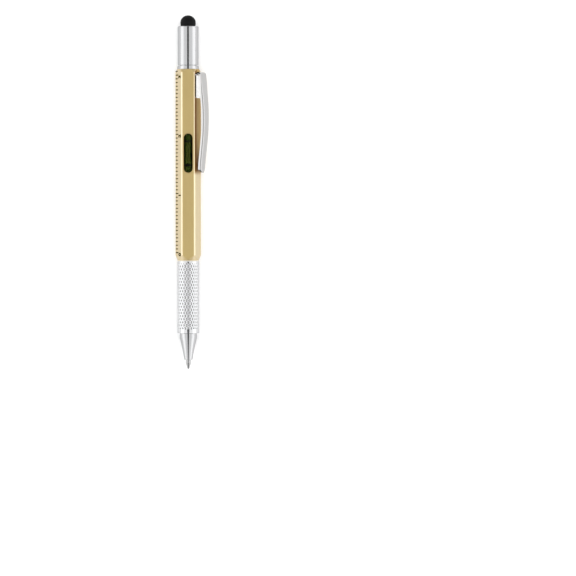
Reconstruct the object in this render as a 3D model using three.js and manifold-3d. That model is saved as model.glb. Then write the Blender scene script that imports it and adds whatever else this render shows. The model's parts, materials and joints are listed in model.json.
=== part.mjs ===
import * as THREE from 'three'
import { mergeVertices, toCreasedNormals } from 'three/addons/utils/BufferGeometryUtils.js'
import Module from 'manifold-3d'

// A multi tool pen that lies on the back face of its six-sided barrel. Millimetres, +Z up.
// The pen runs along Y with the stylus at +Y and the writing point at -Y. The level window
// faces up, and the clip is on the face that leans towards +X. The origin is on the back
// face, half way along the barrel. A profile is a list of [radius, place along Y] pairs.

const wasm = await Module()
wasm.setup()

// Counts of flat sides and steps
const outsideSides = 36
const insideSides = 24
const smallSides = 16
const arcSteps = 4
const creaseAngle = Math.PI / 6

// Clearances that several pieces share
const seatClearance = 0.04
const runningClearance = 0.08
const contactGap = 0.02
const overrun = 1
const weldDistance = 0.0005

// Barrel: a six-sided bar, bored through and turned at both ends
const barrelLength = 82.2
const acrossFlats = 9.75
const cornerRadius = 0.85
const barrelWall = 1
const topChamferLength = 1.5
const topChamferDepth = 0.65
const bottomChamferLength = 2.1
const bottomChamferDepth = 0.75
const bottomLand = 0.35

// Level window and vial
const windowCentre = 5.05
const windowLength = 16.7
const windowWidth = 3.8
const windowChamfer = 0.35
const vialRadius = 2.5
const vialWall = 0.55
const vialOverlap = 1.4
const vialFloor = 0.8
const vialPlugLength = 1.6
const markSpacing = 10.3
const markWidth = 0.5
const markThickness = 0.06
const bubbleLength = 8.6
const bubbleRadius = 1.3
const bubbleTravel = 3
const cradleLip = 1.2
const cradleRimDrop = 0.5

// Collar, spigot and socket of the bit holder
const collarHeight = 1.5
const collarTopProud = 0.02
const capSeam = 0.22
const spigotLength = 5
const spigotChamfer = 0.4
const sealRadius = 0.22
const sealHeight = 0.75
const magnetLength = 2
const holderFloor = 1.2

// Screw cap and stylus
const capLength = 16.7
const capRadius = 4.5
const capWall = 0.8
const capTopThickness = 1.2
const capTopRound = 0.35
const domeHeight = 4.7
const domeRadius = 3.32
const domeBaseRadius = 3.18
const domeWidestHeight = 1.6
const domeSkin = 0.9
const neckRadius = 2.5
const plugHeadThickness = 1
const plugStemLength = 2.2
const plugStemChamfer = 0.8

// Double-ended bit
const bitLength = 28
const bitAcrossFlats = 4
const bitGap = 0.5
const bitNeckRadius = 1.5
const bitNeckLength = 6.5
const bitShoulder = 1
const bladeThickness = 0.6
const bladeTaperLength = 4.2
const crossLength = 3.4
const crossPointRadius = 0.45
const crossConeLength = 2.2
const crossWing = 0.6

// Clip: one strip, folded at the top, with a base plate under a bowed arm
const clipTopInset = 1.3
const clipLength = 43.2
const clipWidth = 5.1
const clipTipWidth = 4.2
const clipThickness = 0.6
const clipPlateLength = 11.1
const clipPlateRound = 1
const clipBow = 4.35
const clipRibDepth = 1.45
const clipCrown = 0.3
const clipFoldGap = 0.12
const clipFoldInner = 0.75
const clipRibStart = 9.5
const clipTipEdge = 0.2
const dimpleRadius = 1.25
const dimpleInset = 3.3
const rivetRadius = 0.7
const rivetHeadRadius = 1.1
const rivetHeadLand = 0.1
const rivetTailRadius = 1
const rivetTailHeight = 0.35
const rivetInset = 2.6

// Twist mechanism
const mechanismGap = 3.5
const endPlugLength = 2
const endPlugGap = 0.4
const carrierWall = 0.5
const carrierSocketDepth = 3
const carrierHead = 3.6
const camWall = 0.45
const camTopWall = 1.1
const camRootLength = 10
const twistTravel = 5
const twistDegrees = 150
const pinRadius = 0.45
const shoulderLength = 2
const ringProud = 0.3
const ringThickness = 0.5
const ringGroove = 0.15
const ringOpening = 0.6
const dragHeight = 4
const washerThickness = 0.3

// Knurled grip
const gripLand = 0.8
const knurlPitch = 1.295
const knurlRows = 22
const knurlColumns = 24
const gripBandLength = 1.65
const gripRadius = 4.74
const gripWall = 1.3
const knurlDepth = 0.26
const gripEdge = 0.12

// Nose cone
const noseLength = 11.5
const noseShoulderLength = 2.2
const noseShoulderRadius = 3.72
const noseTipRadius = 1.78
const noseSpigotLength = 6
const noseLipLength = 2.4
const noseHollowShare = 0.25
const noseSteps = 4

// Ballpoint refill
const refillRadius = 1.175
const refillWall = 0.2
const refillExposed = 4.05
const refillPointHidden = 1.5
const refillPointLand = 1.45
const refillPointSpigot = 3
const ballRadius = 0.35
const ballShown = 0.12
const pointEndRadius = 0.42
const inkFillShare = 0.72

// Radii that follow from the walls
const flatDistance = acrossFlats / 2
const barrelCorner = (flatDistance - cornerRadius) / Math.cos(Math.PI / 6) + cornerRadius
const boreRadius = flatDistance - barrelWall
const insertRadius = boreRadius - seatClearance
const capBore = capRadius - capWall
const spigotRadius = capBore - runningClearance
const carrierSocketRadius = refillRadius + seatClearance
const carrierRadius = carrierSocketRadius + carrierWall
const camBore = carrierRadius + runningClearance
const camRadius = camBore + camWall
const shoulderBore = camRadius + runningClearance
const guideBore = camRadius + ringProud + runningClearance
const gripBore = gripRadius - gripWall
const gripInsertRadius = gripBore - seatClearance
const vialBore = vialRadius - vialWall
const liquidRadius = vialBore - seatClearance
const markRadius = vialRadius + seatClearance + markThickness

// Places along the pen, from mid barrel
const barrelTop = barrelLength / 2
const barrelBottom = -barrelLength / 2
const collarTop = barrelTop + collarHeight
const spigotTop = collarTop + spigotLength
const capBottom = collarTop + capSeam
const capTop = capBottom + capLength
const capCeiling = capTop - capTopThickness
const bitTop = capCeiling - plugHeadThickness - bitGap
const bitBottom = bitTop - bitLength
const socketFloor = bitBottom - seatClearance
const magnetBottom = socketFloor - magnetLength
const holderBottom = magnetBottom - holderFloor
const vialLength = windowLength + 2 * vialOverlap
const vialTop = windowCentre + vialLength / 2
const vialBottom = windowCentre - vialLength / 2
const cradleBottom = vialBottom - cradleLip
const guideTop = cradleBottom - mechanismGap
const camTop = guideTop - endPlugLength - endPlugGap
const gripTop = barrelBottom - washerThickness
const knurlTop = gripTop - gripLand
const knurlBottom = knurlTop - knurlRows * knurlPitch
const gripBottom = knurlBottom - gripBandLength
const noseTip = gripBottom - noseLength
const penTip = noseTip - refillExposed

// The helical slot is as wide along Y as the pin needs on its slope
const twist = THREE.MathUtils.degToRad(twistDegrees)
const slotSlope = Math.atan(twistTravel / (twist * camBore))
const helixHalfWidth = pinRadius / Math.cos(slotSlope) + runningClearance
const slotHalfWidth = pinRadius + runningClearance
const pinRest = camTop - camTopWall - helixHalfWidth - twistTravel
const refillRear = pinRest - carrierHead / 2

// The vial lies against the top of the bore, under the window
const windowEdgeHeight = Math.sqrt(boreRadius ** 2 - (windowWidth / 2) ** 2)
const vialHeight = boreRadius - markRadius - runningClearance

// Clip places, in a frame turned so that the clip's face is up
const clipAngle = Math.PI / 3
const clipTop = barrelTop - clipTopInset
const plateFloor = flatDistance + contactGap
const foldRadius = clipThickness + clipFoldInner
const foldHeight = plateFloor + foldRadius
const foldPlace = clipTop - foldRadius
const plateBottom = clipTop - clipPlateLength
const rivetPlaces = {
  clip_rivet_upper: foldPlace - rivetInset,
  clip_rivet_lower: plateBottom + rivetInset,
}

// A finish for each kind of surface
function finish(color, roughness, metalness, opacity = 1) {
  const transparent = opacity < 1
  return new THREE.MeshStandardMaterial({ color, roughness, metalness, transparent, opacity })
}
const goldAnodised = finish(0xc9a66a, 0.38, 0.9)
const chrome = finish(0xd8d9dc, 0.08, 1)
const springSteel = finish(0xc6c6c4, 0.16, 1)
const toolSteel = finish(0x8f9195, 0.35, 1)
const brass = finish(0xc8a24a, 0.3, 1)
const nickelSilver = finish(0xbdb9ae, 0.22, 1)
const rubber = finish(0x121212, 0.75, 0)
const blackPlastic = finish(0x1d1f1e, 0.5, 0)
const whitePlastic = finish(0xdcd9cf, 0.5, 0)
const clearPlastic = finish(0xdfeadd, 0.1, 0, 0.35)
const levelLiquid = finish(0x2c4a17, 0.15, 0, 0.85)
const bubbleAir = finish(0xa9c08a, 0.1, 0, 0.6)
const inkBlue = finish(0x14204f, 0.4, 0)

// Geometry helpers

function volumeOf(geometry) {
  const position = geometry.attributes.position
  const corners = geometry.index.array
  const a = new THREE.Vector3()
  const b = new THREE.Vector3()
  const c = new THREE.Vector3()
  let total = 0
  for (let i = 0; i < corners.length; i += 3) {
    a.fromBufferAttribute(position, corners[i])
    b.fromBufferAttribute(position, corners[i + 1])
    c.fromBufferAttribute(position, corners[i + 2])
    total += a.dot(b.cross(c)) / 6
  }
  return total
}

// Turns the faces round if they point inwards
function outward(geometry) {
  if (volumeOf(geometry) > 0) return geometry
  const corners = geometry.index.array
  for (let i = 0; i < corners.length; i += 3) {
    const second = corners[i + 1]
    corners[i + 1] = corners[i + 2]
    corners[i + 2] = second
  }
  geometry.computeVertexNormals()
  return geometry
}

function solidOf(geometry) {
  const bare = geometry.clone()
  bare.deleteAttribute('normal')
  bare.deleteAttribute('uv')
  const merged = mergeVertices(bare, weldDistance)
  const source = merged.index.array
  const triVerts = []
  for (let i = 0; i < source.length; i += 3) {
    const [a, b, c] = [source[i], source[i + 1], source[i + 2]]
    if (a !== b && b !== c && c !== a) triVerts.push(a, b, c)
  }
  const vertProperties = new Float32Array(merged.attributes.position.array)
  const mesh = new wasm.Mesh({ numProp: 3, vertProperties, triVerts: new Uint32Array(triVerts) })
  return new wasm.Manifold(mesh)
}

function geometryOf(solid) {
  const mesh = solid.getMesh()
  const geometry = new THREE.BufferGeometry()
  geometry.setAttribute('position', new THREE.BufferAttribute(new Float32Array(mesh.vertProperties), 3))
  geometry.setIndex(new THREE.BufferAttribute(new Uint32Array(mesh.triVerts), 1))
  return toCreasedNormals(geometry, creaseAngle)
}

function cutFrom(geometry, cutters) {
  const cut = cutters.reduce((solid, cutter) => solid.subtract(solidOf(cutter)), solidOf(geometry))
  return geometryOf(cut)
}

function turned(profile, sides) {
  const points = profile.map(([radius, place]) => new THREE.Vector2(radius, place))
  return outward(new THREE.LatheGeometry(points, sides))
}

// A ring or sleeve: its profile is closed
function turnedRing(profile, sides) {
  return turned([...profile, profile[0]], sides)
}

function rod(radius, bottom, top, sides) {
  const geometry = new THREE.CylinderGeometry(radius, radius, top - bottom, sides)
  return geometry.translate(0, (top + bottom) / 2, 0)
}

function sleeve(innerRadius, outerRadius, bottom, top, sides) {
  return turnedRing([
    [innerRadius, bottom],
    [outerRadius, bottom],
    [outerRadius, top],
    [innerRadius, top],
  ], sides)
}

function block(low, high) {
  const size = low.map((value, axis) => high[axis] - value)
  const centre = low.map((value, axis) => (high[axis] + value) / 2)
  return new THREE.BoxGeometry(...size).translate(...centre)
}

function arc(centreRadius, centrePlace, radius, from, to, steps) {
  const points = []
  for (let i = 0; i <= steps; i++) {
    const angle = from + (to - from) * i / steps
    points.push([centreRadius + radius * Math.cos(angle), centrePlace + radius * Math.sin(angle)])
  }
  return points
}

// A torus of round section about the pen's axis
function roundRing(centreRadius, place, sectionRadius) {
  const section = arc(centreRadius, place, sectionRadius, 0, 2 * Math.PI, 2 * arcSteps).slice(0, -1)
  return turnedRing(section, insideSides)
}

// An extruded outline whose depth runs down the pen from its top
function alongPen(shape, top, depth) {
  const geometry = new THREE.ExtrudeGeometry(shape, { depth, bevelEnabled: false, curveSegments: arcSteps })
  return geometry.rotateX(Math.PI / 2).translate(0, top, 0)
}

// Joins rings of equally many points. Ends are capped, or the last ring joins the first.
// crossed says which way the diagonal of a square runs.
function skin(rings, capFaces, crossed = () => false) {
  const count = rings[0].length
  const positions = rings.flat().flatMap(point => point.toArray())
  const at = (ring, i) => (ring % rings.length) * count + i % count
  const corners = []
  const spans = capFaces ? rings.length - 1 : rings.length
  for (let ring = 0; ring < spans; ring++) {
    for (let i = 0; i < count; i++) {
      const [a, b, c, d] = [at(ring, i), at(ring, i + 1), at(ring + 1, i + 1), at(ring + 1, i)]
      if (crossed(ring, i)) corners.push(a, b, c, a, c, d)
      else corners.push(a, b, d, b, c, d)
    }
  }
  if (capFaces) {
    for (const [a, b, c] of capFaces) {
      corners.push(at(0, a), at(0, c), at(0, b))
      corners.push(at(rings.length - 1, a), at(rings.length - 1, b), at(rings.length - 1, c))
    }
  }
  const geometry = new THREE.BufferGeometry()
  geometry.setAttribute('position', new THREE.Float32BufferAttribute(positions, 3))
  geometry.setIndex(corners)
  geometry.computeVertexNormals()
  return outward(geometry)
}

// Triangles over an outline, wound the way that the outline runs
function capFacesOf(outline) {
  const points = outline.map(([x, y]) => new THREE.Vector2(x, y))
  const faces = THREE.ShapeUtils.triangulateShape(points, [])
  const areaOf = face => THREE.ShapeUtils.area(face.map(i => points[i]))
  const same = faces.reduce((sum, face) => sum + areaOf(face), 0) * THREE.ShapeUtils.area(points) > 0
  return faces.map(([a, b, c]) => same ? [a, b, c] : [a, c, b])
}

// Outline of a slot with round ends, long way up
function slotOutline(width, length) {
  const radius = width / 2
  const reach = length / 2 - radius
  const upper = arc(0, reach, radius, 0, Math.PI, 2 * arcSteps)
  const lower = arc(0, -reach, radius, Math.PI, 2 * Math.PI, 2 * arcSteps)
  return [...upper, ...lower]
}

function roundedHexagon() {
  const shape = new THREE.Shape()
  const reach = (flatDistance - cornerRadius) / Math.cos(Math.PI / 6)
  for (let corner = 0; corner < 6; corner++) {
    const angle = corner * Math.PI / 3
    const [x, y] = [reach * Math.cos(angle), reach * Math.sin(angle)]
    shape.absarc(x, y, cornerRadius, angle - Math.PI / 6, angle + Math.PI / 6, false)
  }
  return shape
}

function hexagonRod(width, bottom, top) {
  const radius = width / 2 / Math.cos(Math.PI / 6)
  return rod(radius, bottom, top, 6).rotateY(Math.PI / 6)
}

// Flush rivets share their outline with the holes they fill. Above the clearance, the
// outline is a cutter that runs on past the plate's face.
function rivetProfile(clearance) {
  const seat = plateFloor + rivetHeadLand
  const face = plateFloor + clipThickness
  const tailEnd = boreRadius + contactGap
  const tail = [
    [0, tailEnd - clearance],
    [rivetTailRadius + clearance, tailEnd - clearance],
    [rivetRadius + clearance, tailEnd + rivetTailHeight],
    [rivetRadius + clearance, seat],
    [rivetHeadRadius + clearance, face],
  ]
  if (clearance === 0) return [...tail, [0, face]]
  return [...tail, [rivetHeadRadius + clearance, face + overrun], [0, face + overrun]]
}

// A turned shape that stands out from the clip's face, at a place along the pen
function standing(profile, place) {
  return turned(profile, smallSides).rotateX(Math.PI / 2).translate(0, place, 0)
}

// Barrel and level

function hexBarrel() {
  const bar = solidOf(alongPen(roundedHexagon(), barrelTop, barrelLength))
  const envelope = turned([
    [0, barrelBottom],
    [barrelCorner - bottomChamferDepth, barrelBottom],
    [barrelCorner - bottomChamferDepth, barrelBottom + bottomLand],
    [barrelCorner + contactGap, barrelBottom + bottomLand + bottomChamferLength],
    [barrelCorner + contactGap, barrelTop - topChamferLength],
    [barrelCorner - topChamferDepth, barrelTop],
    [0, barrelTop],
  ], outsideSides)
  const bore = rod(boreRadius, barrelBottom - overrun, barrelTop + overrun, insideSides)
  const outline = slotOutline(windowWidth, windowLength)
  const outer = slotOutline(windowWidth + 2 * windowChamfer, windowLength + 2 * windowChamfer)
  const level = (points, height) => points.map(([x, y]) => new THREE.Vector3(x, y + windowCentre, height))
  const inside = windowEdgeHeight - overrun
  const above = flatDistance + overrun
  const bevelFoot = flatDistance - windowChamfer
  const faces = capFacesOf(outline)
  const opening = skin([level(outline, inside), level(outline, above)], faces)
  const rim = skin([level(outline, bevelFoot), level(outer, flatDistance)], faces)
  const lip = skin([level(outer, flatDistance), level(outer, above)], faces)
  const rivetHoles = Object.values(rivetPlaces).map(place => (
    standing(rivetProfile(seatClearance), place).rotateY(clipAngle)
  ))
  const body = bar.intersect(solidOf(envelope))
  return cutFrom(geometryOf(body), [bore, opening, rim, lip, ...rivetHoles])
}

function levelVial() {
  return turned([
    [0, vialBottom],
    [vialRadius, vialBottom],
    [vialRadius, vialTop],
    [vialBore, vialTop],
    [vialBore, vialBottom + vialFloor],
    [0, vialBottom + vialFloor],
  ], insideSides).translate(0, 0, vialHeight)
}

function vialPlug() {
  const plug = rod(vialBore - seatClearance, vialTop - vialPlugLength, vialTop, insideSides)
  return plug.translate(0, 0, vialHeight)
}

function vialBubble() {
  const middle = bubbleLength - 2 * bubbleRadius
  const bubble = new THREE.CapsuleGeometry(bubbleRadius, middle, arcSteps, smallSides)
  return bubble.translate(0, windowCentre, bubbleHeight())
}

// The bubble floats against the top of the liquid
function bubbleHeight() {
  return vialHeight + liquidRadius - bubbleRadius - runningClearance
}

function vialLiquid() {
  const bottom = vialBottom + vialFloor + seatClearance
  const top = vialTop - vialPlugLength - seatClearance
  const liquid = rod(liquidRadius, bottom, top, insideSides).translate(0, 0, vialHeight)
  const trackRadius = bubbleRadius + runningClearance
  const trackMiddle = bubbleLength + 2 * bubbleTravel - 2 * bubbleRadius
  const track = new THREE.CapsuleGeometry(trackRadius, trackMiddle, arcSteps, smallSides)
  const reach = bubbleLength / 2 + bubbleTravel - bubbleRadius
  const height = bubbleHeight()
  const mouth = block(
    [-trackRadius / 2, windowCentre - reach, height],
    [trackRadius / 2, windowCentre + reach, height + trackRadius + overrun],
  )
  return cutFrom(liquid, [track.translate(0, windowCentre, height), mouth])
}

function vialMark(place) {
  const low = place - markWidth / 2
  const high = place + markWidth / 2
  const ring = sleeve(vialRadius + seatClearance, markRadius, low, high, insideSides)
  return ring.translate(0, 0, vialHeight)
}

function vialCradle() {
  const round = rod(insertRadius, cradleBottom, vialTop + cradleLip, insideSides)
  const pocketRadius = markRadius + seatClearance
  const low = vialBottom - seatClearance
  const high = vialTop + seatClearance
  const pocket = rod(pocketRadius, low, high, insideSides).translate(0, 0, vialHeight)
  const rim = vialHeight - cradleRimDrop
  const above = block([-acrossFlats, low, rim], [acrossFlats, high, acrossFlats])
  return cutFrom(round, [pocket, above])
}

// Bit holder, bit and cap

function bitHolder() {
  const seal = sealGroove()
  const body = turned([
    [0, holderBottom],
    [insertRadius, holderBottom],
    [insertRadius, barrelTop + contactGap],
    [barrelCorner - topChamferDepth, barrelTop + contactGap],
    [capRadius + collarTopProud, collarTop],
    [spigotRadius, collarTop],
    [spigotRadius, seal.low],
    [seal.floor, seal.low],
    [seal.floor, seal.high],
    [spigotRadius, seal.high],
    [spigotRadius, spigotTop - spigotChamfer],
    [spigotRadius - spigotChamfer, spigotTop],
    [0, spigotTop],
  ], outsideSides)
  const socket = hexagonRod(bitAcrossFlats + 2 * seatClearance, socketFloor, spigotTop + overrun)
  const pocket = rod(magnetRadius() + seatClearance, magnetBottom, socketFloor + overrun, smallSides)
  return cutFrom(body, [socket, pocket])
}

function magnetRadius() {
  return bitAcrossFlats / 2 - seatClearance
}

function sealGroove() {
  const centre = capBore - contactGap - sealRadius
  const place = collarTop + sealHeight
  const half = sealRadius + seatClearance
  return { centre, place, floor: centre - half, low: place - half, high: place + half }
}

function capSeal() {
  const { centre, place } = sealGroove()
  return roundRing(centre, place, sealRadius)
}

function bitMagnet() {
  return rod(magnetRadius(), magnetBottom + contactGap, socketFloor - contactGap, smallSides)
}

function driverBit() {
  const blade = bitTop - bitNeckLength
  const cross = bitBottom + bitNeckLength
  const corner = bitAcrossFlats / 2 / Math.cos(Math.PI / 6) + contactGap
  const envelope = turned([
    [0, bitBottom],
    [crossPointRadius, bitBottom],
    [bitNeckRadius, bitBottom + crossConeLength],
    [bitNeckRadius, cross],
    [corner, cross + bitShoulder],
    [corner, blade - bitShoulder],
    [bitNeckRadius, blade],
    [bitNeckRadius, bitTop],
    [0, bitTop],
  ], smallSides)
  const hexagon = solidOf(hexagonRod(bitAcrossFlats, bitBottom - overrun, bitTop + overrun))
  const blank = geometryOf(solidOf(envelope).intersect(hexagon))
  return cutFrom(blank, [...bladeCutters(), ...crossCutters()])
}

// Two wedges leave the flat blade
function bladeCutters() {
  const far = bitNeckRadius + overrun
  return [1, -1].map(side => {
    const outline = [
      [bladeThickness / 2, bitTop + overrun],
      [far, bitTop + overrun],
      [far, bitTop - bladeTaperLength],
      [bitNeckRadius, bitTop - bladeTaperLength],
      [bladeThickness / 2, bitTop - bladeThickness],
    ]
    const ring = x => outline.map(([out, place]) => new THREE.Vector3(x, place, side * out))
    return skin([ring(-far), ring(far)], capFacesOf(outline))
  })
}

// Four flutes leave the wings of the cross point
function crossCutters() {
  const far = bitNeckRadius + overrun
  const ring = (near, place) => [[near, near], [far, near], [far, far], [near, far]].map(([x, z]) => (
    new THREE.Vector3(x, place, z)
  ))
  const faces = [[0, 1, 2], [0, 2, 3]]
  const low = ring(crossWing / 2, bitBottom - overrun)
  const high = ring(bitNeckRadius, bitBottom + crossLength)
  return [0, 1, 2, 3].map(turn => skin([low, high], faces).rotateY(turn * Math.PI / 2))
}

function capTube() {
  const round = arc(capRadius - capTopRound, capTop - capTopRound, capTopRound, 0, Math.PI / 2, arcSteps)
  return turnedRing([
    [capBore, capBottom],
    [capRadius, capBottom],
    ...round,
    [neckRadius + seatClearance, capTop],
    [neckRadius + seatClearance, capCeiling],
    [capBore, capCeiling],
  ], outsideSides)
}

// Rubber dome, pushed through the cap's hole by its neck
function stylusTip() {
  const base = capTop + contactGap
  const widest = base + domeWidestHeight
  const rise = domeHeight - domeWidestHeight
  const quarter = steps => arc(0, 0, 1, 0, Math.PI / 2, steps).slice(0, -1)
  const outside = quarter(2 * arcSteps).map(([across, up]) => [domeRadius * across, widest + rise * up])
  const hollow = quarter(arcSteps / 2).map(([across, up]) => [
    stemRadius() * across + seatClearance,
    capTop + (rise - domeSkin) * up,
  ])
  const neckEnd = capCeiling + contactGap
  return turned([
    [0, widest + rise],
    ...outside.reverse(),
    [domeBaseRadius, base],
    [neckRadius, base],
    [neckRadius, neckEnd],
    [stemRadius() + seatClearance, neckEnd],
    ...hollow,
    [0, capTop + rise - domeSkin],
  ], insideSides)
}

function stemRadius() {
  return neckRadius - domeSkin
}

function stylusPlug() {
  const headTop = capCeiling - contactGap
  const stem = stemRadius()
  const stemTop = headTop + plugStemLength
  return turned([
    [0, headTop - plugHeadThickness],
    [capBore - seatClearance, headTop - plugHeadThickness],
    [capBore - seatClearance, headTop],
    [stem - seatClearance, headTop],
    [stem - seatClearance, stemTop - plugStemChamfer],
    [stem - plugStemChamfer, stemTop],
    [0, stemTop],
  ], insideSides)
}

// Clip, drawn with its face up and its width along X

function clipPlate() {
  const top = foldPlace - clipFoldGap
  const half = clipWidth / 2
  const round = clipPlateRound
  const outline = [
    ...arc(half - round, plateBottom + round, round, -Math.PI / 2, 0, arcSteps),
    [half, top],
    [-half, top],
    ...arc(-half + round, plateBottom + round, round, Math.PI, 1.5 * Math.PI, arcSteps),
  ]
  const level = height => outline.map(([x, y]) => new THREE.Vector3(x, y, height))
  const plate = skin([level(plateFloor), level(plateFloor + clipThickness)], capFacesOf(outline))
  const holes = Object.values(rivetPlaces).map(place => standing(rivetProfile(seatClearance), place))
  return cutFrom(plate, holes)
}

// The arm's outer face, as shares of the clip's length and of its bow
const armShares = [
  [0.07, 0.67],
  [0.18, 0.82],
  [0.33, 0.96],
  [0.47, 1],
  [0.62, 0.945],
  [0.78, 0.78],
  [0.9, 0.645],
  [1, 0.57],
]

// Stations of the arm: a place, the direction out of the strip, and the half width there
function armStations() {
  const stations = []
  const foldStart = -Math.PI / 2
  const foldEnd = THREE.MathUtils.degToRad(75)
  const foldSteps = 2 * arcSteps
  for (let i = 0; i <= foldSteps; i++) {
    const angle = THREE.MathUtils.lerp(foldStart, foldEnd, i / foldSteps)
    const out = new THREE.Vector2(Math.cos(angle), Math.sin(angle))
    const point = new THREE.Vector2(foldPlace, foldHeight).addScaledVector(out, foldRadius)
    stations.push({ point, out, half: clipWidth / 2, away: 0 })
  }
  const start = stations.at(-1).point
  const points = armShares.map(([along, rise]) => (
    new THREE.Vector3(0, clipTop - along * clipLength, flatDistance + rise * clipBow)
  ))
  const curve = new THREE.CatmullRomCurve3([new THREE.Vector3(0, start.x, start.y), ...points])
  const length = curve.getLength()
  const tip = clipTipWidth / 2
  const add = (away, half) => {
    const along = away / length
    const point = curve.getPointAt(along)
    const tangent = curve.getTangentAt(along)
    const out = new THREE.Vector2(tangent.z, -tangent.y)
    stations.push({ point: new THREE.Vector2(point.y, point.z), out, half, away })
  }
  const steps = 4 * arcSteps
  for (let i = 1; i <= steps; i++) {
    const away = (length - tip) * i / steps
    add(away, THREE.MathUtils.lerp(clipWidth, clipTipWidth, i / steps) / 2)
  }
  const last = Math.acos(clipTipEdge / tip)
  for (let i = 1; i <= arcSteps; i++) {
    const angle = last * i / arcSteps
    add(length - tip + tip * Math.sin(angle), tip * Math.cos(angle))
  }
  return stations
}

function clipArm() {
  const rings = armStations().map(({ point, out, half, away }) => {
    const grown = THREE.MathUtils.smoothstep(away, 0, clipRibStart)
    const full = Math.min(1, half / (clipTipWidth / 2))
    const rib = clipThickness + (clipRibDepth - clipThickness) * grown * full + contactGap
    return ribbedSection(half, rib, clipCrown * grown * full).map(([x, depth]) => (
      new THREE.Vector3(x, point.x + depth * out.x, point.y + depth * out.y)
    ))
  })
  const faces = capFacesOf(ribbedSection(clipWidth / 2, clipRibDepth, clipCrown))
  const dimple = new THREE.SphereGeometry(dimpleRadius, smallSides, smallSides / 2)
  const pole = flatDistance + seatClearance + dimpleRadius
  dimple.translate(0, clipTop - clipLength + dimpleInset, pole)
  return geometryOf(solidOf(skin(rings, faces)).add(solidOf(dimple)))
}

// Section of the strip: a crowned outer face and a shallow rib down each side
function ribbedSection(half, rib, crown) {
  const ribWidth = Math.min(clipThickness, half / 2)
  const outside = arc(0, 0, 1, 0, Math.PI, arcSteps).map(([x, up]) => [half * x, crown * (up - 1)])
  const inner = half - ribWidth
  return [
    ...outside,
    [-half, -rib],
    [-inner, -rib],
    [-inner, -clipThickness],
    [inner, -clipThickness],
    [inner, -rib],
    [half, -rib],
  ]
}

// Twist mechanism

function guideTube() {
  const shoulder = barrelBottom + shoulderLength
  const tube = turnedRing([
    [shoulderBore, barrelBottom],
    [insertRadius, barrelBottom],
    [insertRadius, guideTop],
    [guideBore, guideTop],
    [guideBore, shoulder],
    [shoulderBore, shoulder],
  ], insideSides)
  const slots = block(
    [-acrossFlats, pinRest - slotHalfWidth, -slotHalfWidth],
    [acrossFlats, pinRest + twistTravel + slotHalfWidth, slotHalfWidth],
  )
  return cutFrom(tube, [slots])
}

function guideEndPlug() {
  return rod(guideBore - seatClearance, guideTop - endPlugLength, guideTop, insideSides)
}

function thrustWasher() {
  const outer = barrelCorner - bottomChamferDepth - seatClearance
  return sleeve(shoulderBore, outer, gripTop + contactGap, barrelBottom - contactGap, insideSides)
}

// Places of the two grooves in the cam sleeve, above the shoulder of the guide tube
const ringLow = barrelBottom + shoulderLength + contactGap
const ringHigh = ringLow + ringThickness
const dragPlace = ringHigh + dragHeight
const dragSection = (guideBore - camRadius + ringGroove) / 2 - seatClearance

function camSleeve() {
  const root = camRadius - ringGroove
  const half = dragSection + contactGap
  const body = turnedRing([
    [camBore, gripTop - camRootLength],
    [gripInsertRadius, gripTop - camRootLength],
    [gripInsertRadius, gripTop],
    [camRadius, gripTop],
    [camRadius, ringLow - contactGap],
    [root, ringLow - contactGap],
    [root, ringHigh + contactGap],
    [camRadius, ringHigh + contactGap],
    [camRadius, dragPlace - half],
    [root, dragPlace - half],
    [root, dragPlace + half],
    [camRadius, dragPlace + half],
    [camRadius, camTop],
    [camBore, camTop],
  ], insideSides)
  return cutFrom(body, [helixCutter(Math.PI / 2), helixCutter(-Math.PI / 2)])
}

// A bar bent along the helix that the cross pin follows while the sleeve turns
function helixCutter(start) {
  const near = camBore - camWall
  const far = camRadius + camWall
  const margin = (pinRadius + runningClearance) / camBore
  const steps = insideSides / 2
  const rings = []
  for (let i = 0; i <= steps; i++) {
    const turn = -margin + (twist + 2 * margin) * i / steps
    const place = pinRest + twistTravel * turn / twist
    const corners = [[near, -1], [far, -1], [far, 1], [near, 1]]
    rings.push(corners.map(([radius, side]) => new THREE.Vector3(
      radius * Math.sin(start - turn),
      place + side * helixHalfWidth,
      radius * Math.cos(start - turn),
    )))
  }
  return skin(rings, [[0, 1, 2], [0, 2, 3]])
}

function retainingRing() {
  const shape = new THREE.Shape()
  const inner = camRadius - ringGroove + contactGap
  const gap = ringOpening / inner
  shape.absarc(0, 0, camRadius + ringProud, gap, 2 * Math.PI - gap, false)
  shape.absarc(0, 0, inner, 2 * Math.PI - gap, gap, true)
  const geometry = new THREE.ExtrudeGeometry(shape, {
    depth: ringThickness,
    bevelEnabled: false,
    curveSegments: insideSides / 2,
  })
  return geometry.rotateX(Math.PI / 2).translate(0, ringHigh, 0)
}

function dragRing() {
  return roundRing((guideBore + camRadius - ringGroove) / 2, dragPlace, dragSection)
}

function refillCarrier() {
  const bottom = refillRear - carrierSocketDepth
  const body = turned([
    [0, refillRear + carrierHead],
    [carrierRadius, refillRear + carrierHead],
    [carrierRadius, bottom],
    [carrierSocketRadius, bottom],
    [carrierSocketRadius, refillRear + contactGap],
    [0, refillRear + contactGap],
  ], insideSides)
  const hole = rod(pinRadius + seatClearance, -guideBore, guideBore, smallSides)
  return cutFrom(body, [hole.rotateZ(Math.PI / 2).translate(0, pinRest, 0)])
}

function carrierPin() {
  const reach = insertRadius - seatClearance
  return rod(pinRadius, -reach, reach, smallSides).rotateZ(Math.PI / 2).translate(0, pinRest, 0)
}

// Grip and nose

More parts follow.
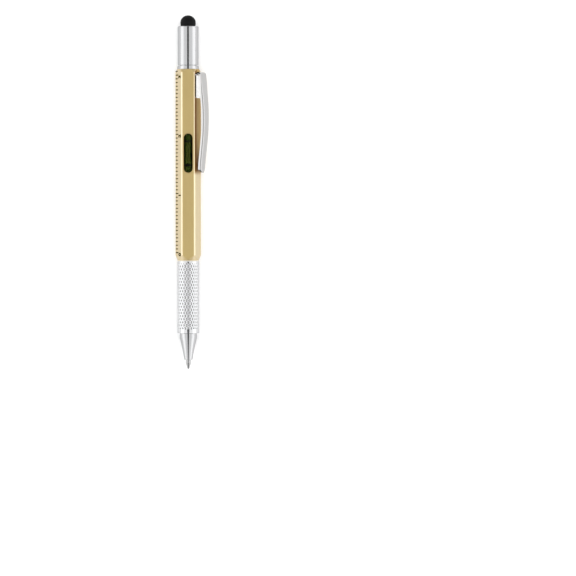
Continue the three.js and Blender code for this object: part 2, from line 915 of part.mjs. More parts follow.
function gripSleeve() {
  const points = 2 * knurlColumns
  const ring = (radiusAt, place) => Array.from({ length: points }, (_, i) => {
    const angle = i * Math.PI / knurlColumns
    const radius = radiusAt(i)
    return new THREE.Vector3(radius * Math.sin(angle), place, radius * Math.cos(angle))
  })
  const plain = (radius, place) => ring(() => radius, place)
  const valley = gripRadius - knurlDepth
  const rings = [
    plain(gripRadius - gripEdge, gripTop),
    plain(gripRadius, gripTop - gripEdge),
    plain(gripRadius, knurlTop),
    plain(valley, knurlTop - gripEdge),
  ]
  const firstRow = rings.length
  for (let row = 1; row < knurlRows; row++) {
    const radiusAt = i => (i + row) % 2 ? valley : gripRadius
    rings.push(ring(radiusAt, knurlTop - row * knurlPitch))
  }
  rings.push(
    plain(valley, knurlBottom + gripEdge),
    plain(gripRadius, knurlBottom),
    plain(gripRadius, gripBottom + gripEdge),
    plain(gripRadius - gripEdge, gripBottom),
    plain(gripBore, gripBottom),
    plain(gripBore, gripTop),
  )
  const crossed = (span, i) => (span - firstRow + 1 + i) % 2 === 1
  return skin(rings, null, crossed)
}

function noseCone() {
  const spigotEnd = gripBottom + noseSpigotLength
  const shoulder = gripBottom - noseShoulderLength
  const tipBore = refillRadius + runningClearance
  const taper = []
  for (let i = 0; i <= noseSteps; i++) {
    const share = i / noseSteps
    const drawn = share + noseHollowShare * share * (1 - share)
    const radius = noseShoulderRadius + (noseTipRadius - noseShoulderRadius) * drawn
    taper.push([radius, shoulder + (noseTip - shoulder) * share])
  }
  const wide = (tipBore + noseTipRadius) / 2
  const lipEnd = noseTip + noseLipLength
  return turnedRing([
    [gripInsertRadius, spigotEnd],
    [gripInsertRadius, gripBottom - contactGap],
    [noseShoulderRadius, gripBottom - contactGap],
    ...taper,
    [tipBore, noseTip],
    [tipBore, lipEnd],
    [wide, lipEnd + wide - tipBore],
    [wide, spigotEnd],
  ], outsideSides)
}

// Refill

const refillTubeEnd = noseTip + refillPointHidden
const ballCentre = penTip + ballRadius

function refillTube() {
  return sleeve(refillRadius - refillWall, refillRadius, refillTubeEnd, refillRear, smallSides)
}

function refillInk() {
  const low = refillTubeEnd + refillPointSpigot + seatClearance
  const high = low + (refillRear - low) * inkFillShare
  return rod(refillRadius - refillWall - seatClearance, low, high, smallSides)
}

// The point holds its ball in a socket that it closes past the ball's middle
function refillTip() {
  const spigot = refillRadius - refillWall - seatClearance
  const end = penTip + ballShown
  const socket = ballRadius + contactGap
  const lip = Math.asin((ballCentre - end) / socket)
  const seat = arc(0, ballCentre, socket, -lip, Math.PI / 2, 2 * arcSteps).slice(0, -1)
  return turned([
    [0, refillTubeEnd + refillPointSpigot],
    [spigot, refillTubeEnd + refillPointSpigot],
    [spigot, refillTubeEnd - contactGap],
    [refillRadius, refillTubeEnd - contactGap],
    [refillRadius, noseTip - refillPointLand],
    [pointEndRadius, end],
    ...seat,
    [0, ballCentre + socket],
  ], smallSides)
}

function refillBall() {
  return new THREE.SphereGeometry(ballRadius, smallSides, smallSides / 2).translate(0, ballCentre, 0)
}

// Assembly

function piece(name, geometry, material) {
  const mesh = new THREE.Mesh(geometry, material.clone())
  mesh.name = name
  return mesh
}

const pen = new THREE.Group()
pen.position.z = flatDistance
pen.add(
  piece('hex_barrel', hexBarrel(), goldAnodised),
  piece('level_vial', levelVial(), clearPlastic),
  piece('vial_plug', vialPlug(), clearPlastic),
  piece('vial_liquid', vialLiquid(), levelLiquid),
  piece('vial_bubble', vialBubble(), bubbleAir),
  piece('vial_mark_upper', vialMark(windowCentre + markSpacing / 2), blackPlastic),
  piece('vial_mark_lower', vialMark(windowCentre - markSpacing / 2), blackPlastic),
  piece('vial_cradle', vialCradle(), blackPlastic),
  piece('bit_holder', bitHolder(), chrome),
  piece('bit_magnet', bitMagnet(), toolSteel),
  piece('cap_seal', capSeal(), rubber),
  piece('driver_bit', driverBit(), toolSteel),
  piece('cap_tube', capTube(), chrome),
  piece('stylus_plug', stylusPlug(), brass),
  piece('stylus_tip', stylusTip(), rubber),
  piece('guide_tube', guideTube(), whitePlastic),
  piece('guide_end_plug', guideEndPlug(), whitePlastic),
  piece('thrust_washer', thrustWasher(), whitePlastic),
  piece('cam_sleeve', camSleeve(), brass),
  piece('retaining_ring', retainingRing(), springSteel),
  piece('drag_ring', dragRing(), rubber),
  piece('refill_carrier', refillCarrier(), brass),
  piece('carrier_pin', carrierPin(), toolSteel),
  piece('grip_sleeve', gripSleeve(), chrome),
  piece('nose_cone', noseCone(), chrome),
  piece('refill_tube', refillTube(), brass),
  piece('refill_ink', refillInk(), inkBlue),
  piece('refill_tip', refillTip(), nickelSilver),
  piece('refill_ball', refillBall(), toolSteel),
)

const clip = new THREE.Group()
clip.rotation.y = clipAngle
clip.add(
  piece('clip_plate', clipPlate(), springSteel),
  piece('clip_arm', clipArm(), springSteel),
)
for (const [name, place] of Object.entries(rivetPlaces)) {
  clip.add(piece(name, standing(rivetProfile(0), place), springSteel))
}
pen.add(clip)

const model = new THREE.Group()
model.add(pen)

export default model
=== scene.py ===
import json
import math

import bmesh
import bpy
from mathutils import Matrix, Vector


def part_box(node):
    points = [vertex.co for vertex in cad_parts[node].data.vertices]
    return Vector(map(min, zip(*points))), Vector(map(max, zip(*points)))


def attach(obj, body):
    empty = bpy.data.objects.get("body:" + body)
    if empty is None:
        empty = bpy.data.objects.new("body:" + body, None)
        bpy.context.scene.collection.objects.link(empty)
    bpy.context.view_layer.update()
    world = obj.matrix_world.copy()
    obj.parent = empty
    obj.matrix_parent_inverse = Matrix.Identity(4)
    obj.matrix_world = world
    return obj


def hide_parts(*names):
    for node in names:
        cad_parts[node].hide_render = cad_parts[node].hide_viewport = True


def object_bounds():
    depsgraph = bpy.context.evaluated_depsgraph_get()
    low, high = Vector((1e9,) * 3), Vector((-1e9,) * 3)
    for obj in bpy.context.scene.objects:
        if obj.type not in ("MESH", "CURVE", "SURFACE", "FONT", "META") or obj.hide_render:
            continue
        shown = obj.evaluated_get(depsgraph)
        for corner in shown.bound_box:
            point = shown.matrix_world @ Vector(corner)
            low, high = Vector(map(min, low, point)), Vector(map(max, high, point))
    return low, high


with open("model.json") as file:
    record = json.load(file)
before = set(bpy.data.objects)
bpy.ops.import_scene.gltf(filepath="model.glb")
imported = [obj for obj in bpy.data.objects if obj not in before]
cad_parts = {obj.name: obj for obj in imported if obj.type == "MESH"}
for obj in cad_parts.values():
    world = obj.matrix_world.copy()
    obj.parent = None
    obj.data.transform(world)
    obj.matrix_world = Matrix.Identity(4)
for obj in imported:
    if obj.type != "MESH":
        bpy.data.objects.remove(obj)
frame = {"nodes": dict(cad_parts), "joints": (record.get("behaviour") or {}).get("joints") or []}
cad_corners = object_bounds()

# Dresses a multi tool pen that lies on the back face of its six-sided barrel.
# Lengths are in millimetres, and MM turns them to metres where a mesh is made. A point is
# (across, along, up) from the pen's axis at mid barrel, and a profile is a list of
# (radius, place along the pen) pairs, with a rounding as a third number where it has one.
MM = 0.001


def corners(node):
    """Lowest and highest corner of a CAD node at rest."""
    low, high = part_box(node)
    return low / MM, high / MM


def span(node):
    """Both ends of a CAD node along the pen."""
    low, high = corners(node)
    return low.y, high.y


def radius_of(node):
    low, high = corners(node)
    return (high.x - low.x) / 2


def height_of(node):
    """Height of a round node's own axis above the pen's axis."""
    low, high = corners(node)
    return (low.z + high.z) / 2 - axis_height


# Places and radii from the frame
barrel_low, barrel_high = corners("hex_barrel")
axis_height = (barrel_low.z + barrel_high.z) / 2
flat_distance = (barrel_high.z - barrel_low.z) / 2
barrel_bottom, barrel_top = span("hex_barrel")
barrel_corner = radius_of("hex_barrel")
holder_bottom, spigot_top = span("bit_holder")
cap_bottom, cap_top = span("cap_tube")
cap_radius = radius_of("cap_tube")
bit_bottom, bit_top = span("driver_bit")
seal_bottom, seal_top = span("cap_seal")
seal_middle = (seal_bottom + seal_top) / 2
seal_radius = radius_of("cap_seal")
vial_bottom, vial_top = span("level_vial")
vial_radius = radius_of("level_vial")
vial_height = height_of("level_vial")
grip_bottom, grip_top = span("grip_sleeve")
grip_radius = radius_of("grip_sleeve")
nose_tip, nose_spigot_end = span("nose_cone")
pen_tip = span("refill_ball")[0]
refill_radius = radius_of("refill_tip")

# Clearances
seat_clearance = 0.04
running_clearance = 0.08
contact_gap = 0.02
overrun = 1

# Barrel
thirty = math.pi / 6
sixty = math.pi / 3
barrel_wall = 1
bore_radius = flat_distance - barrel_wall
corner_round = (flat_distance - barrel_corner * math.cos(thirty)) / (1 - math.cos(thirty))
corner_centre = (flat_distance - corner_round) / math.cos(thirty)
corner_tangent = math.atan2(corner_round * math.sin(thirty),
                            corner_centre + corner_round * math.cos(thirty))
top_chamfer = (1.5, 0.65)
bottom_chamfer = (2.1, 0.75)
bottom_land = 0.35
chamfer_margin = 0.3
end_round = 0.12
edge_blend = 0.09

# Where the barrel's finish changes, and where highlight and shade are painted on it
corner_highlight_width = 0.04
satin_depth = 0.05
satin_fade = 0.04
cover_depth = 0.12
cover_fade = 0.06
cover_margin = 1
cover_tip_fade = 2
corner_shade_share = 0.25
corner_shade_width = 1.4
tip_shade_length = 11.4
tip_shade_fade = 5.5

# Level and its window
window_centre = sum(span("vial_mark_upper") + span("vial_mark_lower")) / 4
window_length = 16.7
window_width = 3.8
window_chamfer = 0.35
vial_wall = 0.55
vial_floor = 0.8
vial_end_round = 0.2
vial_floor_round = 0.4
vial_rim_outer_round = 0.1
vial_rim_inner_round = 0.05
stopper_rounds = (0.08, 0.1)
liquid_rounds = (0.35, 0.1)
band_bleed = 0.1
band_round = 0.02

# Bit holder
collar_gap = 0.22
collar_top = cap_bottom - collar_gap
collar_base_round = 0.06
collar_round = 0.12
insert_round = 0.2
groove_round = 0.04
spigot_bevel = 0.4
spigot_round = 0.05
socket_corner_round = 0.1
socket_mouth = 0.12
magnet_round = 0.15

# Cap and thread
cap_wall = 0.8
cap_top_thickness = 1.2
cap_ceiling = cap_top - cap_top_thickness
cap_mouth_outer_round = 0.1
cap_mouth_inner_round = 0.08
cap_top_round = 0.35
cap_hole_round = 0.05
cap_thread_start = 1.2
cap_thread_end = 4.6
spigot_radius = cap_radius - cap_wall - running_clearance
relief_margin = 0.02
thread_pitch = 0.75
thread_depth = 0.22
thread_margin = 0.1
thread_run_out = 0.3
thread_shares = (0.25, 0.2, 0.0)

# Bit
bit_width = 4
bit_corner_round = 0.2
bit_neck_radius = 1.5
bit_neck_length = 6.5
bit_neck_round = 0.3
bit_shoulder = 1
blade_thickness = 0.6
blade_taper_length = 4.2
cross_length = 3.4
cross_point_radius = 0.45
cross_point_round = 0.1
cross_cone_length = 2.2
cross_cone_round = 0.2
cross_wing = 0.6

# Stylus
dome_radius = 3.32
dome_base_radius = 3.18
dome_base_round = 0.12
dome_widest_height = 1.6
dome_skin = 0.9
neck_radius = 2.5
neck_round = 0.1
stem_radius = neck_radius - dome_skin
anchor_round = 0.12
anchor_bevel = 0.8
anchor_bevel_rounds = (0.3, 0.2)

# Clip
clip_inset = 1.3
clip_top = barrel_top - clip_inset
clip_length = 43.2
clip_tip = clip_top - clip_length
clip_width = 5.1
clip_tip_width = 4.2
clip_tip_end_share = 0.1
clip_thickness = 0.6
clip_plate_length = 11.1
clip_plate_round = 1
clip_plate_bevel = 0.06
clip_bow = 4.35
clip_rib_depth = 1.45
clip_crown = 0.08
clip_shoulder_round = 0.7
clip_edge_round = 0.12
clip_rib_start = 9.5
clip_fold_inner = 0.75
clip_fold_gap = 0.12
clip_fold_end = math.radians(75)
fold_corner = 0.45
painted_edge_shade = "painted_edge_shade"
edge_shade_share = 0.6
dimple_radius = 1.25
dimple_inset = 3.3
rivet_radius = 0.7
rivet_head_radius = 1.1
rivet_head_land = 0.1
rivet_face_round = 0.04
rivet_tail_radius = 1
rivet_tail_height = 0.35
rivet_inset = 2.6

# The arm's outer face, as shares of the clip's length and of its bow
arm_shares = [
    (0.07, 0.67), (0.18, 0.82), (0.33, 0.96), (0.47, 1), (0.62, 0.945), (0.78, 0.78),
    (0.9, 0.645), (1, 0.57),
]

# Grip
grip_wall = 1.3
grip_bore = grip_radius - grip_wall
grip_bore_round = 0.1
grip_edge = 0.12
knurl_inset = 0.8
knurl_top = grip_top - knurl_inset
knurl_length = 28.49
knurl_bottom = knurl_top - knurl_length
knurl_pitch = 1.335
knurl_columns = 24
knurl_depth = 0.32
knurl_run_out = 0.25
knurl_shares = (0.4, 0.05, 0.7)
knurl_wall = 0.5
knurl_sharp_angle = math.radians(75)

# Nose cone and refill
nose_shoulder_length = 2.2
nose_shoulder_radius = 3.72
nose_shoulder_round = 0.15
nose_step_round = 0.12
nose_tip_radius = 1.78
nose_tip_round = 0.12
nose_bore_round = 0.05
nose_spigot_round = 0.1
nose_hollow_share = 0.25
nose_lip_length = 2.4
refill_wall = 0.2
refill_point_land = 1.45
point_spigot_round = 0.1
point_step_round = 0.05
point_cone_round = 0.2
point_end_radius = 0.42
point_end_round = 0.03
ball_radius = radius_of("refill_ball")
ball_centre = pen_tip + ball_radius
ball_shown = 0.12

# Printed scales
inch = 25.4
inch_zero = -37.66
inch_tick_count = 50
inch_ticks = (1.8, 2.05, 2.35)
inch_numeral_shift = (3.55, -0.8)
centimetre_zero = 36.5
millimetre_tick_count = 71
millimetre_ticks = (1.2, 1.8, 2.4)
centimetre_numeral_shift = (3.3, 1.1)
tick_width = 0.48
print_thickness = 0.015
numeral_height = 1.8
numeral_height_share = 0.7
numeral_boldness = 0.17
numeral_resolution = 24

# Counts of steps
sides = 96
small_sides = 48
round_steps = 5
short_arc_steps = 12
arc_steps = 24
dome_steps = 32
flat_steps = 20
corner_steps = 8
bottom_chamfer_steps = 30
top_chamfer_steps = 24
barrel_steps = 12
thread_steps = 40
clip_line_steps = 60
clip_arm_steps = 90
clip_tip_steps = 14
clip_face_steps = 12
knurl_cells = 12
taper_steps = 24
support = 0.03
merge_distance = 1e-7
sharp_angle = math.radians(34)


# Node trees as Python

def math_node(operation, reflected=False):
    """A method of Link that adds a Math node with an operation."""
    def method(*terms):
        ordered = reversed(terms) if reflected else terms
        return terms[0].graph.add("ShaderNodeMath", {"operation": operation},
                                  dict(enumerate(ordered)))
    return method


class Link:
    """An output of a node. Sums on it add Math nodes to its tree."""

    def __init__(self, graph, socket):
        self.graph = graph
        self.socket = socket

    __add__ = math_node("ADD")
    __radd__ = math_node("ADD", reflected=True)
    __sub__ = math_node("SUBTRACT")
    __rsub__ = math_node("SUBTRACT", reflected=True)
    __mul__ = math_node("MULTIPLY")
    __rmul__ = math_node("MULTIPLY", reflected=True)
    __truediv__ = math_node("DIVIDE")
    __pow__ = math_node("POWER")
    __mod__ = math_node("MODULO")
    __lt__ = math_node("LESS_THAN")
    __gt__ = math_node("GREATER_THAN")
    __abs__ = math_node("ABSOLUTE")
    fraction = math_node("FRACT")
    larger = math_node("MAXIMUM")
    smaller = math_node("MINIMUM")
    angle_to = math_node("ARCTAN2")

    def kept(self):
        """The value, kept between 0 and 1."""
        return self.larger(0).smaller(1)

    def rise(self, start, width):
        """0 up to a start, 1 past a width from there, and even between them."""
        return ((self - start) / width).kept()

    def also(self, name):
        """Another output of the same node."""
        return Link(self.graph, self.socket.node.outputs[name])


class Graph:
    """A node tree. add() makes a node from its type, its settings and its inputs."""

    def __init__(self, tree):
        self.tree = tree

    def add(self, kind, settings=None, inputs=None, output=0):
        node = self.tree.nodes.new(kind)
        for name, value in (settings or {}).items():
            setattr(node, name, value)
        for key, value in (inputs or {}).items():
            if isinstance(value, Link):
                self.tree.links.new(value.socket, node.inputs[key])
            else:
                node.inputs[key].default_value = value
        return Link(self, node.outputs[output]) if len(node.outputs) else None


def opaque(colour):
    return (*colour, 1)


def from_axis(graph, point, height):
    """How far a point lies across, along and up from the pen's axis, and straight out of it."""
    across = graph.add("ShaderNodeSeparateXYZ", {}, {0: point})
    up = across.also("Z") - height
    return across, across.also("Y"), up, (across * across + up * up) ** 0.5


# Mesh helpers

def linked(name, mesh):
    piece = bpy.data.objects.new(name, mesh)
    bpy.context.scene.collection.objects.link(piece)
    return piece


def faces_out(mesh, merge=0):
    """Turns a closed mesh's faces out, after points nearer than a distance are merged."""
    shape = bmesh.new()
    shape.from_mesh(mesh)
    if merge:
        bmesh.ops.remove_doubles(shape, verts=shape.verts, dist=merge)
    bmesh.ops.recalc_face_normals(shape, faces=shape.faces)
    shape.to_mesh(mesh)
    shape.free()


def closed_mesh(name, points, faces):
    """A closed mesh from points in the pen's own frame."""
    mesh = bpy.data.meshes.new(name)
    mesh.from_pydata([(x * MM, y * MM, (z + axis_height) * MM) for x, y, z in points], [], faces)
    faces_out(mesh)
    return linked(name, mesh)


def smooth(piece, angle=sharp_angle):
    piece.data.shade_smooth()
    piece.data.set_sharp_from_angle(angle=angle)
    return piece


def evaluated_mesh(piece):
    """The mesh that a piece's modifiers or its curve make."""
    bpy.context.view_layer.update()
    graph = bpy.context.evaluated_depsgraph_get()
    return bpy.data.meshes.new_from_object(piece.evaluated_get(graph))


def applied(piece):
    """Replaces a piece's mesh by what its modifiers make of it."""
    mesh = evaluated_mesh(piece)
    mesh.name = piece.name
    piece.modifiers.clear()
    piece.data = mesh
    return piece


def combined(piece, operation, others):
    for other in others:
        step = piece.modifiers.new(operation.lower(), "BOOLEAN")
        step.operation = operation
        step.solver = "EXACT"
        step.object = other
    applied(piece)
    for other in others:
        bpy.data.objects.remove(other)
    return piece


def placed(spot, across, along, facing):
    """The matrix that moves the origin to a spot and turns X, Y and Z to three directions."""
    return Matrix.Translation(spot) @ Matrix((across, along, facing)).transposed().to_4x4()


def direction(turn):
    """A direction across the pen, by its angle from straight up."""
    return Vector((math.sin(turn), 0, math.cos(turn)))


def steps_between(start, end, count):
    return [start + (end - start) * i / count for i in range(count + 1)]


def arc(across, along, radius, start, end, steps):
    return [(across + radius * math.cos(angle), along + radius * math.sin(angle))
            for angle in steps_between(start, end, steps)]


def loft(name, rings, capped=True):
    """Joins rings of equally many points. Its ends are capped, or the last joins the first."""
    count = len(rings[0])
    points = [point for ring in rings for point in ring]
    spans = len(rings) - 1 if capped else len(rings)
    faces = []
    for ring in range(spans):
        near = ring * count
        far = (ring + 1) % len(rings) * count
        for i in range(count):
            after = (i + 1) % count
            faces.append((near + i, near + after, far + after, far + i))
    if capped:
        faces.append(tuple(range(count)))
        faces.append(tuple(range(len(points) - count, len(points))))
    return closed_mesh(name, points, faces)


def rounded(outline, closed):
    """Puts an arc at each point that gives a rounding, with a point just off each arc."""
    result = []
    count = len(outline)
    for i, (a, b, *size) in enumerate(outline):
        here = Vector((a, b))
        inner = closed or 0 < i < count - 1
        if not size or not size[0] or not inner:
            result.append(here)
            continue
        before = Vector(outline[i - 1][:2]) - here
        after = Vector(outline[(i + 1) % count][:2]) - here
        half = before.angle(after) / 2
        reach = size[0] / math.tan(half)
        start = here + before.normalized() * reach
        end = here + after.normalized() * reach
        inward = (before.normalized() + after.normalized()).normalized()
        middle = here + inward * size[0] / math.sin(half)
        result.append(start + before.normalized() * min(support, (before.length - reach) / 4))
        first = start - middle
        turn = first.angle_signed(end - middle)
        for step in range(round_steps + 1):
            spoke = Matrix.Rotation(-turn * step / round_steps, 2) @ first
            result.append(middle + spoke)
        result.append(end + after.normalized() * min(support, (after.length - reach) / 4))
    return [tuple(point) for point in result]


def turned(name, profile, count=sides, height=0, ring=False):
    """Turns a profile round the pen's axis, or round a line that lies higher by height.
    The profile of a ring closes on itself, and another one starts and ends on the axis."""
    outline = rounded(profile, ring)
    points = []
    rows = []
    for radius, place in outline:
        if radius < 1e-6:
            rows.append([len(points)] * count)
            points.append((0, place, height))
            continue
        rows.append([len(points) + i for i in range(count)])
        for i in range(count):
            angle = 2 * math.pi * i / count
            points.append((radius * math.sin(angle), place, height + radius * math.cos(angle)))
    faces = []
    spans = len(rows) if ring else len(rows) - 1
    for row in range(spans):
        near = rows[row]
        far = rows[(row + 1) % len(rows)]
        for i in range(count):
            after = (i + 1) % count
            corner = dict.fromkeys((near[i], near[after], far[after], far[i]))
            if len(corner) > 2:
                faces.append(tuple(corner))
    return closed_mesh(name, points, faces)


def rod_profile(node, low_round, high_round):
    """Profile of a plain round rod that fills a CAD node."""
    low, high = span(node)
    radius = radius_of(node)
    return [(0, low), (radius, low, low_round), (radius, high, high_round), (0, high)]


def ball_profile(centre, radius):
    half_circle = arc(0, centre, radius, -math.pi / 2, math.pi / 2, arc_steps)
    return [(0, centre - radius), *half_circle[1:-1], (0, centre + radius)]


def capsule(name, radius, bottom, top, height):
    lower = arc(0, bottom + radius, radius, -math.pi / 2, 0, short_arc_steps)
    upper = arc(0, top - radius, radius, 0, math.pi / 2, short_arc_steps)
    profile = [(0, bottom), *lower[1:], *upper[:-1], (0, top)]
    return turned(name, profile, small_sides, height)


def hexagon_rod(name, width, bottom, top, corner):
    """A six-sided rod with a flat side up."""
    reach = width / 2 / math.cos(thirty)
    tips = [(reach * math.sin(thirty * (2 * i + 1)), reach * math.cos(thirty * (2 * i + 1)), corner)
            for i in range(6)]
    section = rounded(tips, True)
    return loft(name, [[(x, place, z) for x, z in section] for place in (bottom, top)])


def standing(name, profile, place):
    """A turned shape that stands out of the clip's face: its profile gives the height."""
    piece = turned(name, profile, small_sides)
    turn = Matrix.Rotation(sixty, 4, "Y") @ Matrix.Rotation(math.pi / 2, 4, "X")
    lift = Matrix.Translation((0, 0, axis_height * MM))
    move = Matrix.Translation((0, place * MM, 0))
    piece.data.transform(lift @ move @ turn @ lift.inverted())
    return piece


def on_clip(points):
    """Points of the clip's own frame (across, along, out), turned to the clip's face."""
    cosine = math.cos(sixty)
    sine = math.sin(sixty)
    return [(x * cosine + out * sine, y, out * cosine - x * sine) for x, y, out in points]


# Geometry node trees

def geometry_graph(name, sizes, counts=()):
    """A tree with an input for a geometry, for each count and size, and for a material."""
    tree = bpy.data.node_groups.new(name, "GeometryNodeTree")
    kinds = {"Geometry": "Geometry", **dict.fromkeys(counts, "Int"),
             **dict.fromkeys(sizes, "Float"), "Material": "Material"}
    for label, kind in kinds.items():
        tree.interface.new_socket(label, in_out="INPUT", socket_type="NodeSocket" + kind)
    tree.interface.new_socket("Geometry", in_out="OUTPUT", socket_type="NodeSocketGeometry")
    graph = Graph(tree)
    return graph, graph.add("NodeGroupInput", output="Geometry")


def end_graph(graph, geometry, material):
    real = graph.add("GeometryNodeRealizeInstances", {}, {"Geometry": geometry})
    dressed = graph.add("GeometryNodeSetMaterial", {}, {"Geometry": real, "Material": material})
    graph.add("NodeGroupOutput", {}, {"Geometry": dressed})
    return graph.tree


def grown(piece, tree, values):
    """Runs a geometry node tree on a piece, and keeps the mesh that it makes."""
    step = piece.modifiers.new(tree.name, "NODES")
    step.node_group = tree
    for item in tree.interface.items_tree:
        if item.in_out == "INPUT" and item.name in values:
            step[item.identifier] = values[item.name]
    return applied(piece)


def relief_tree():
    """Cuts two families of helical grooves into a turned surface. Both make a knurl."""
    graph, given = geometry_graph("helical_relief", [
        "Axis Height", "Surface Radius", "Radius Margin", "Top", "Bottom", "Run Out", "Depth",
        "Crest Share", "Floor Share", "Crossing Share",
        "Right Starts", "Right Rate", "Left Starts", "Left Rate",
    ])
    point = graph.add("GeometryNodeInputPosition")
    across, along, up, radius = from_axis(graph, point, given.also("Axis Height"))
    turn = across.angle_to(up) / (2 * math.pi)
    down = given.also("Top") - along

    def groove(starts, rate):
        wave = abs((turn * starts + down * rate + 0.5).fraction() - 0.5) * 2
        return graph.add("ShaderNodeMapRange", {"interpolation_type": "SMOOTHSTEP"}, {
            "Value": wave,
            "From Min": given.also("Crest Share"),
            "From Max": 1 - given.also("Floor Share"),
        })

    right = groove(given.also("Right Starts"), given.also("Right Rate"))
    left = groove(given.also("Left Starts"), 0 - given.also("Left Rate"))
    on_surface = abs(radius - given.also("Surface Radius")) < given.also("Radius Margin")
    ends = down.smaller(along - given.also("Bottom")) / given.also("Run Out")
    fade = ends.kept()
    crossing = given.also("Crossing Share")
    cut = right.larger(left) * (1 - crossing) + right * left * crossing
    sink = cut * given.also("Depth") * on_surface * fade / radius
    offset = graph.add("ShaderNodeCombineXYZ", {}, {"X": 0 - across * sink, "Z": 0 - up * sink})
    moved = graph.add("GeometryNodeSetPosition", {}, {"Geometry": given, "Offset": offset})
    return end_graph(graph, moved, given.also("Material"))


def relief_sizes(radius, top, bottom, depth, run_out, right, left, shares, material):
    """Inputs of the relief. Each family of grooves is (starts, grooves to a millimetre along the
    pen), and the shares are those of the crest, the floor and the crossing."""
    crest, floor, crossing = shares
    return {
        "Axis Height": axis_height * MM, "Surface Radius": radius * MM,
        "Radius Margin": relief_margin * MM, "Top": top * MM, "Bottom": bottom * MM,
        "Run Out": run_out * MM, "Depth": depth * MM,
        "Crest Share": crest, "Floor Share": floor, "Crossing Share": crossing,
        "Right Starts": right[0], "Right Rate": right[1] / MM,
        "Left Starts": left[0], "Left Rate": left[1] / MM, "Material": material,
    }


def ticks_tree():
    """A row of ruler ticks along Y, which start at X = 0 and stand out along Z."""
    graph, given = geometry_graph("ruler_ticks", [
        "Pitch", "Width", "Thickness", "Short", "Medium", "Long", "Medium Every", "Long Every",
    ], ["Count"])
    step = graph.add("ShaderNodeCombineXYZ", {}, {"Y": given.also("Pitch")})
    line = graph.add("GeometryNodeMeshLine", {"mode": "OFFSET"}, {
        "Count": given.also("Count"), "Offset": step,
    })
    number = graph.add("GeometryNodeInputIndex")
    half = 0.5
    medium = (number % given.also("Medium Every")) < half
    long = (number % given.also("Long Every")) < half
    short = given.also("Short")
    length = short + (given.also("Medium") - short) * medium
    length = length + (given.also("Long") - given.also("Medium")) * long
    bar = graph.add("GeometryNodeMeshCube", {}, {"Size": (1, 1, 1)})
    bar = graph.add("GeometryNodeTransform", {}, {"Geometry": bar, "Translation": (half, 0, half)})
    size = graph.add("ShaderNodeCombineXYZ", {}, {
        "X": length, "Y": given.also("Width"), "Z": given.also("Thickness"),
    })
    row = graph.add("GeometryNodeInstanceOnPoints", {}, {
        "Points": line, "Instance": bar, "Scale": size,
    })
    return end_graph(graph, row, given.also("Material"))


# Finishes

def finish(name):
    """An empty material, and its graph."""
    material = bpy.data.materials.new(name)
    material.use_nodes = True
    material.node_tree.nodes.clear()
    return material, Graph(material.node_tree)


def shown(graph, **inputs):
    """Ends a material in one Principled shader."""
    named = {name.replace("_", " ").title().replace("Ior", "IOR"): value
             for name, value in inputs.items()}
    surface = graph.add("ShaderNodeBsdfPrincipled", {}, named)
    graph.add("ShaderNodeOutputMaterial", {}, {"Surface": surface})


def noise(graph, across, along, detail=2, turn=0):
    """Noise with features of a size in millimetres, across and along the pen, turned about it."""
    place = graph.add("ShaderNodeTexCoord", output="Object")
    if turn:
        place = graph.add("ShaderNodeVectorRotate", {"rotation_type": "Y_AXIS"}, {
            "Vector": place, "Center": (0, 0, axis_height * MM), "Angle": turn,
        })
    scale = (1 / (across * MM), 1 / (along * MM), 1 / (across * MM))
    place = graph.add("ShaderNodeMapping", {}, {"Vector": place, "Scale": scale})
    return graph.add("ShaderNodeTexNoise", {}, {"Vector": place, "Scale": 1, "Detail": detail})


def bump(graph, height, depth):
    return graph.add("ShaderNodeBump", {}, {
        "Strength": 1, "Distance": depth * MM, "Height": height,
    })


def blend(graph, first, second, factor):
    """A colour between two colours."""
    return graph.add("ShaderNodeMix", {"data_type": "RGBA"}, {
        0: factor,
        6: first if isinstance(first, Link) else opaque(first),
        7: second if isinstance(second, Link) else opaque(second),
    }, output=2)


def mottled(graph, base, share, factor):
    """A colour between a base and that base times a share."""
    return blend(graph, base, tuple(channel * share for channel in base), factor)


def on_pen(graph):
    """Where a point of a surface lies from the pen's axis."""
    return from_axis(graph, graph.add("ShaderNodeTexCoord", output="Object"), axis_height * MM)


def under_clip(across, along, up):
    """Where the arm covers the clip's face, and how deep a point lies in its shade there. The
    shade is deepest beside the upper corner and round the dimple."""
    out = across * math.sin(sixty) + up * math.cos(sixty)
    aside = across * math.cos(sixty) - up * math.sin(sixty)
    on_face = out.rise((flat_distance - cover_depth) * MM, cover_fade * MM)
    past_tip = along.rise((clip_tip - cover_margin) * MM, cover_tip_fade * MM)
    covered = on_face * past_tip
    near_corner = -corner_shade_share - aside / (corner_shade_width * MM)
    near_tip = ((clip_tip + tip_shade_length) * MM - along) / (tip_shade_fade * MM)
    return covered, covered * near_corner.larger(near_tip).kept()


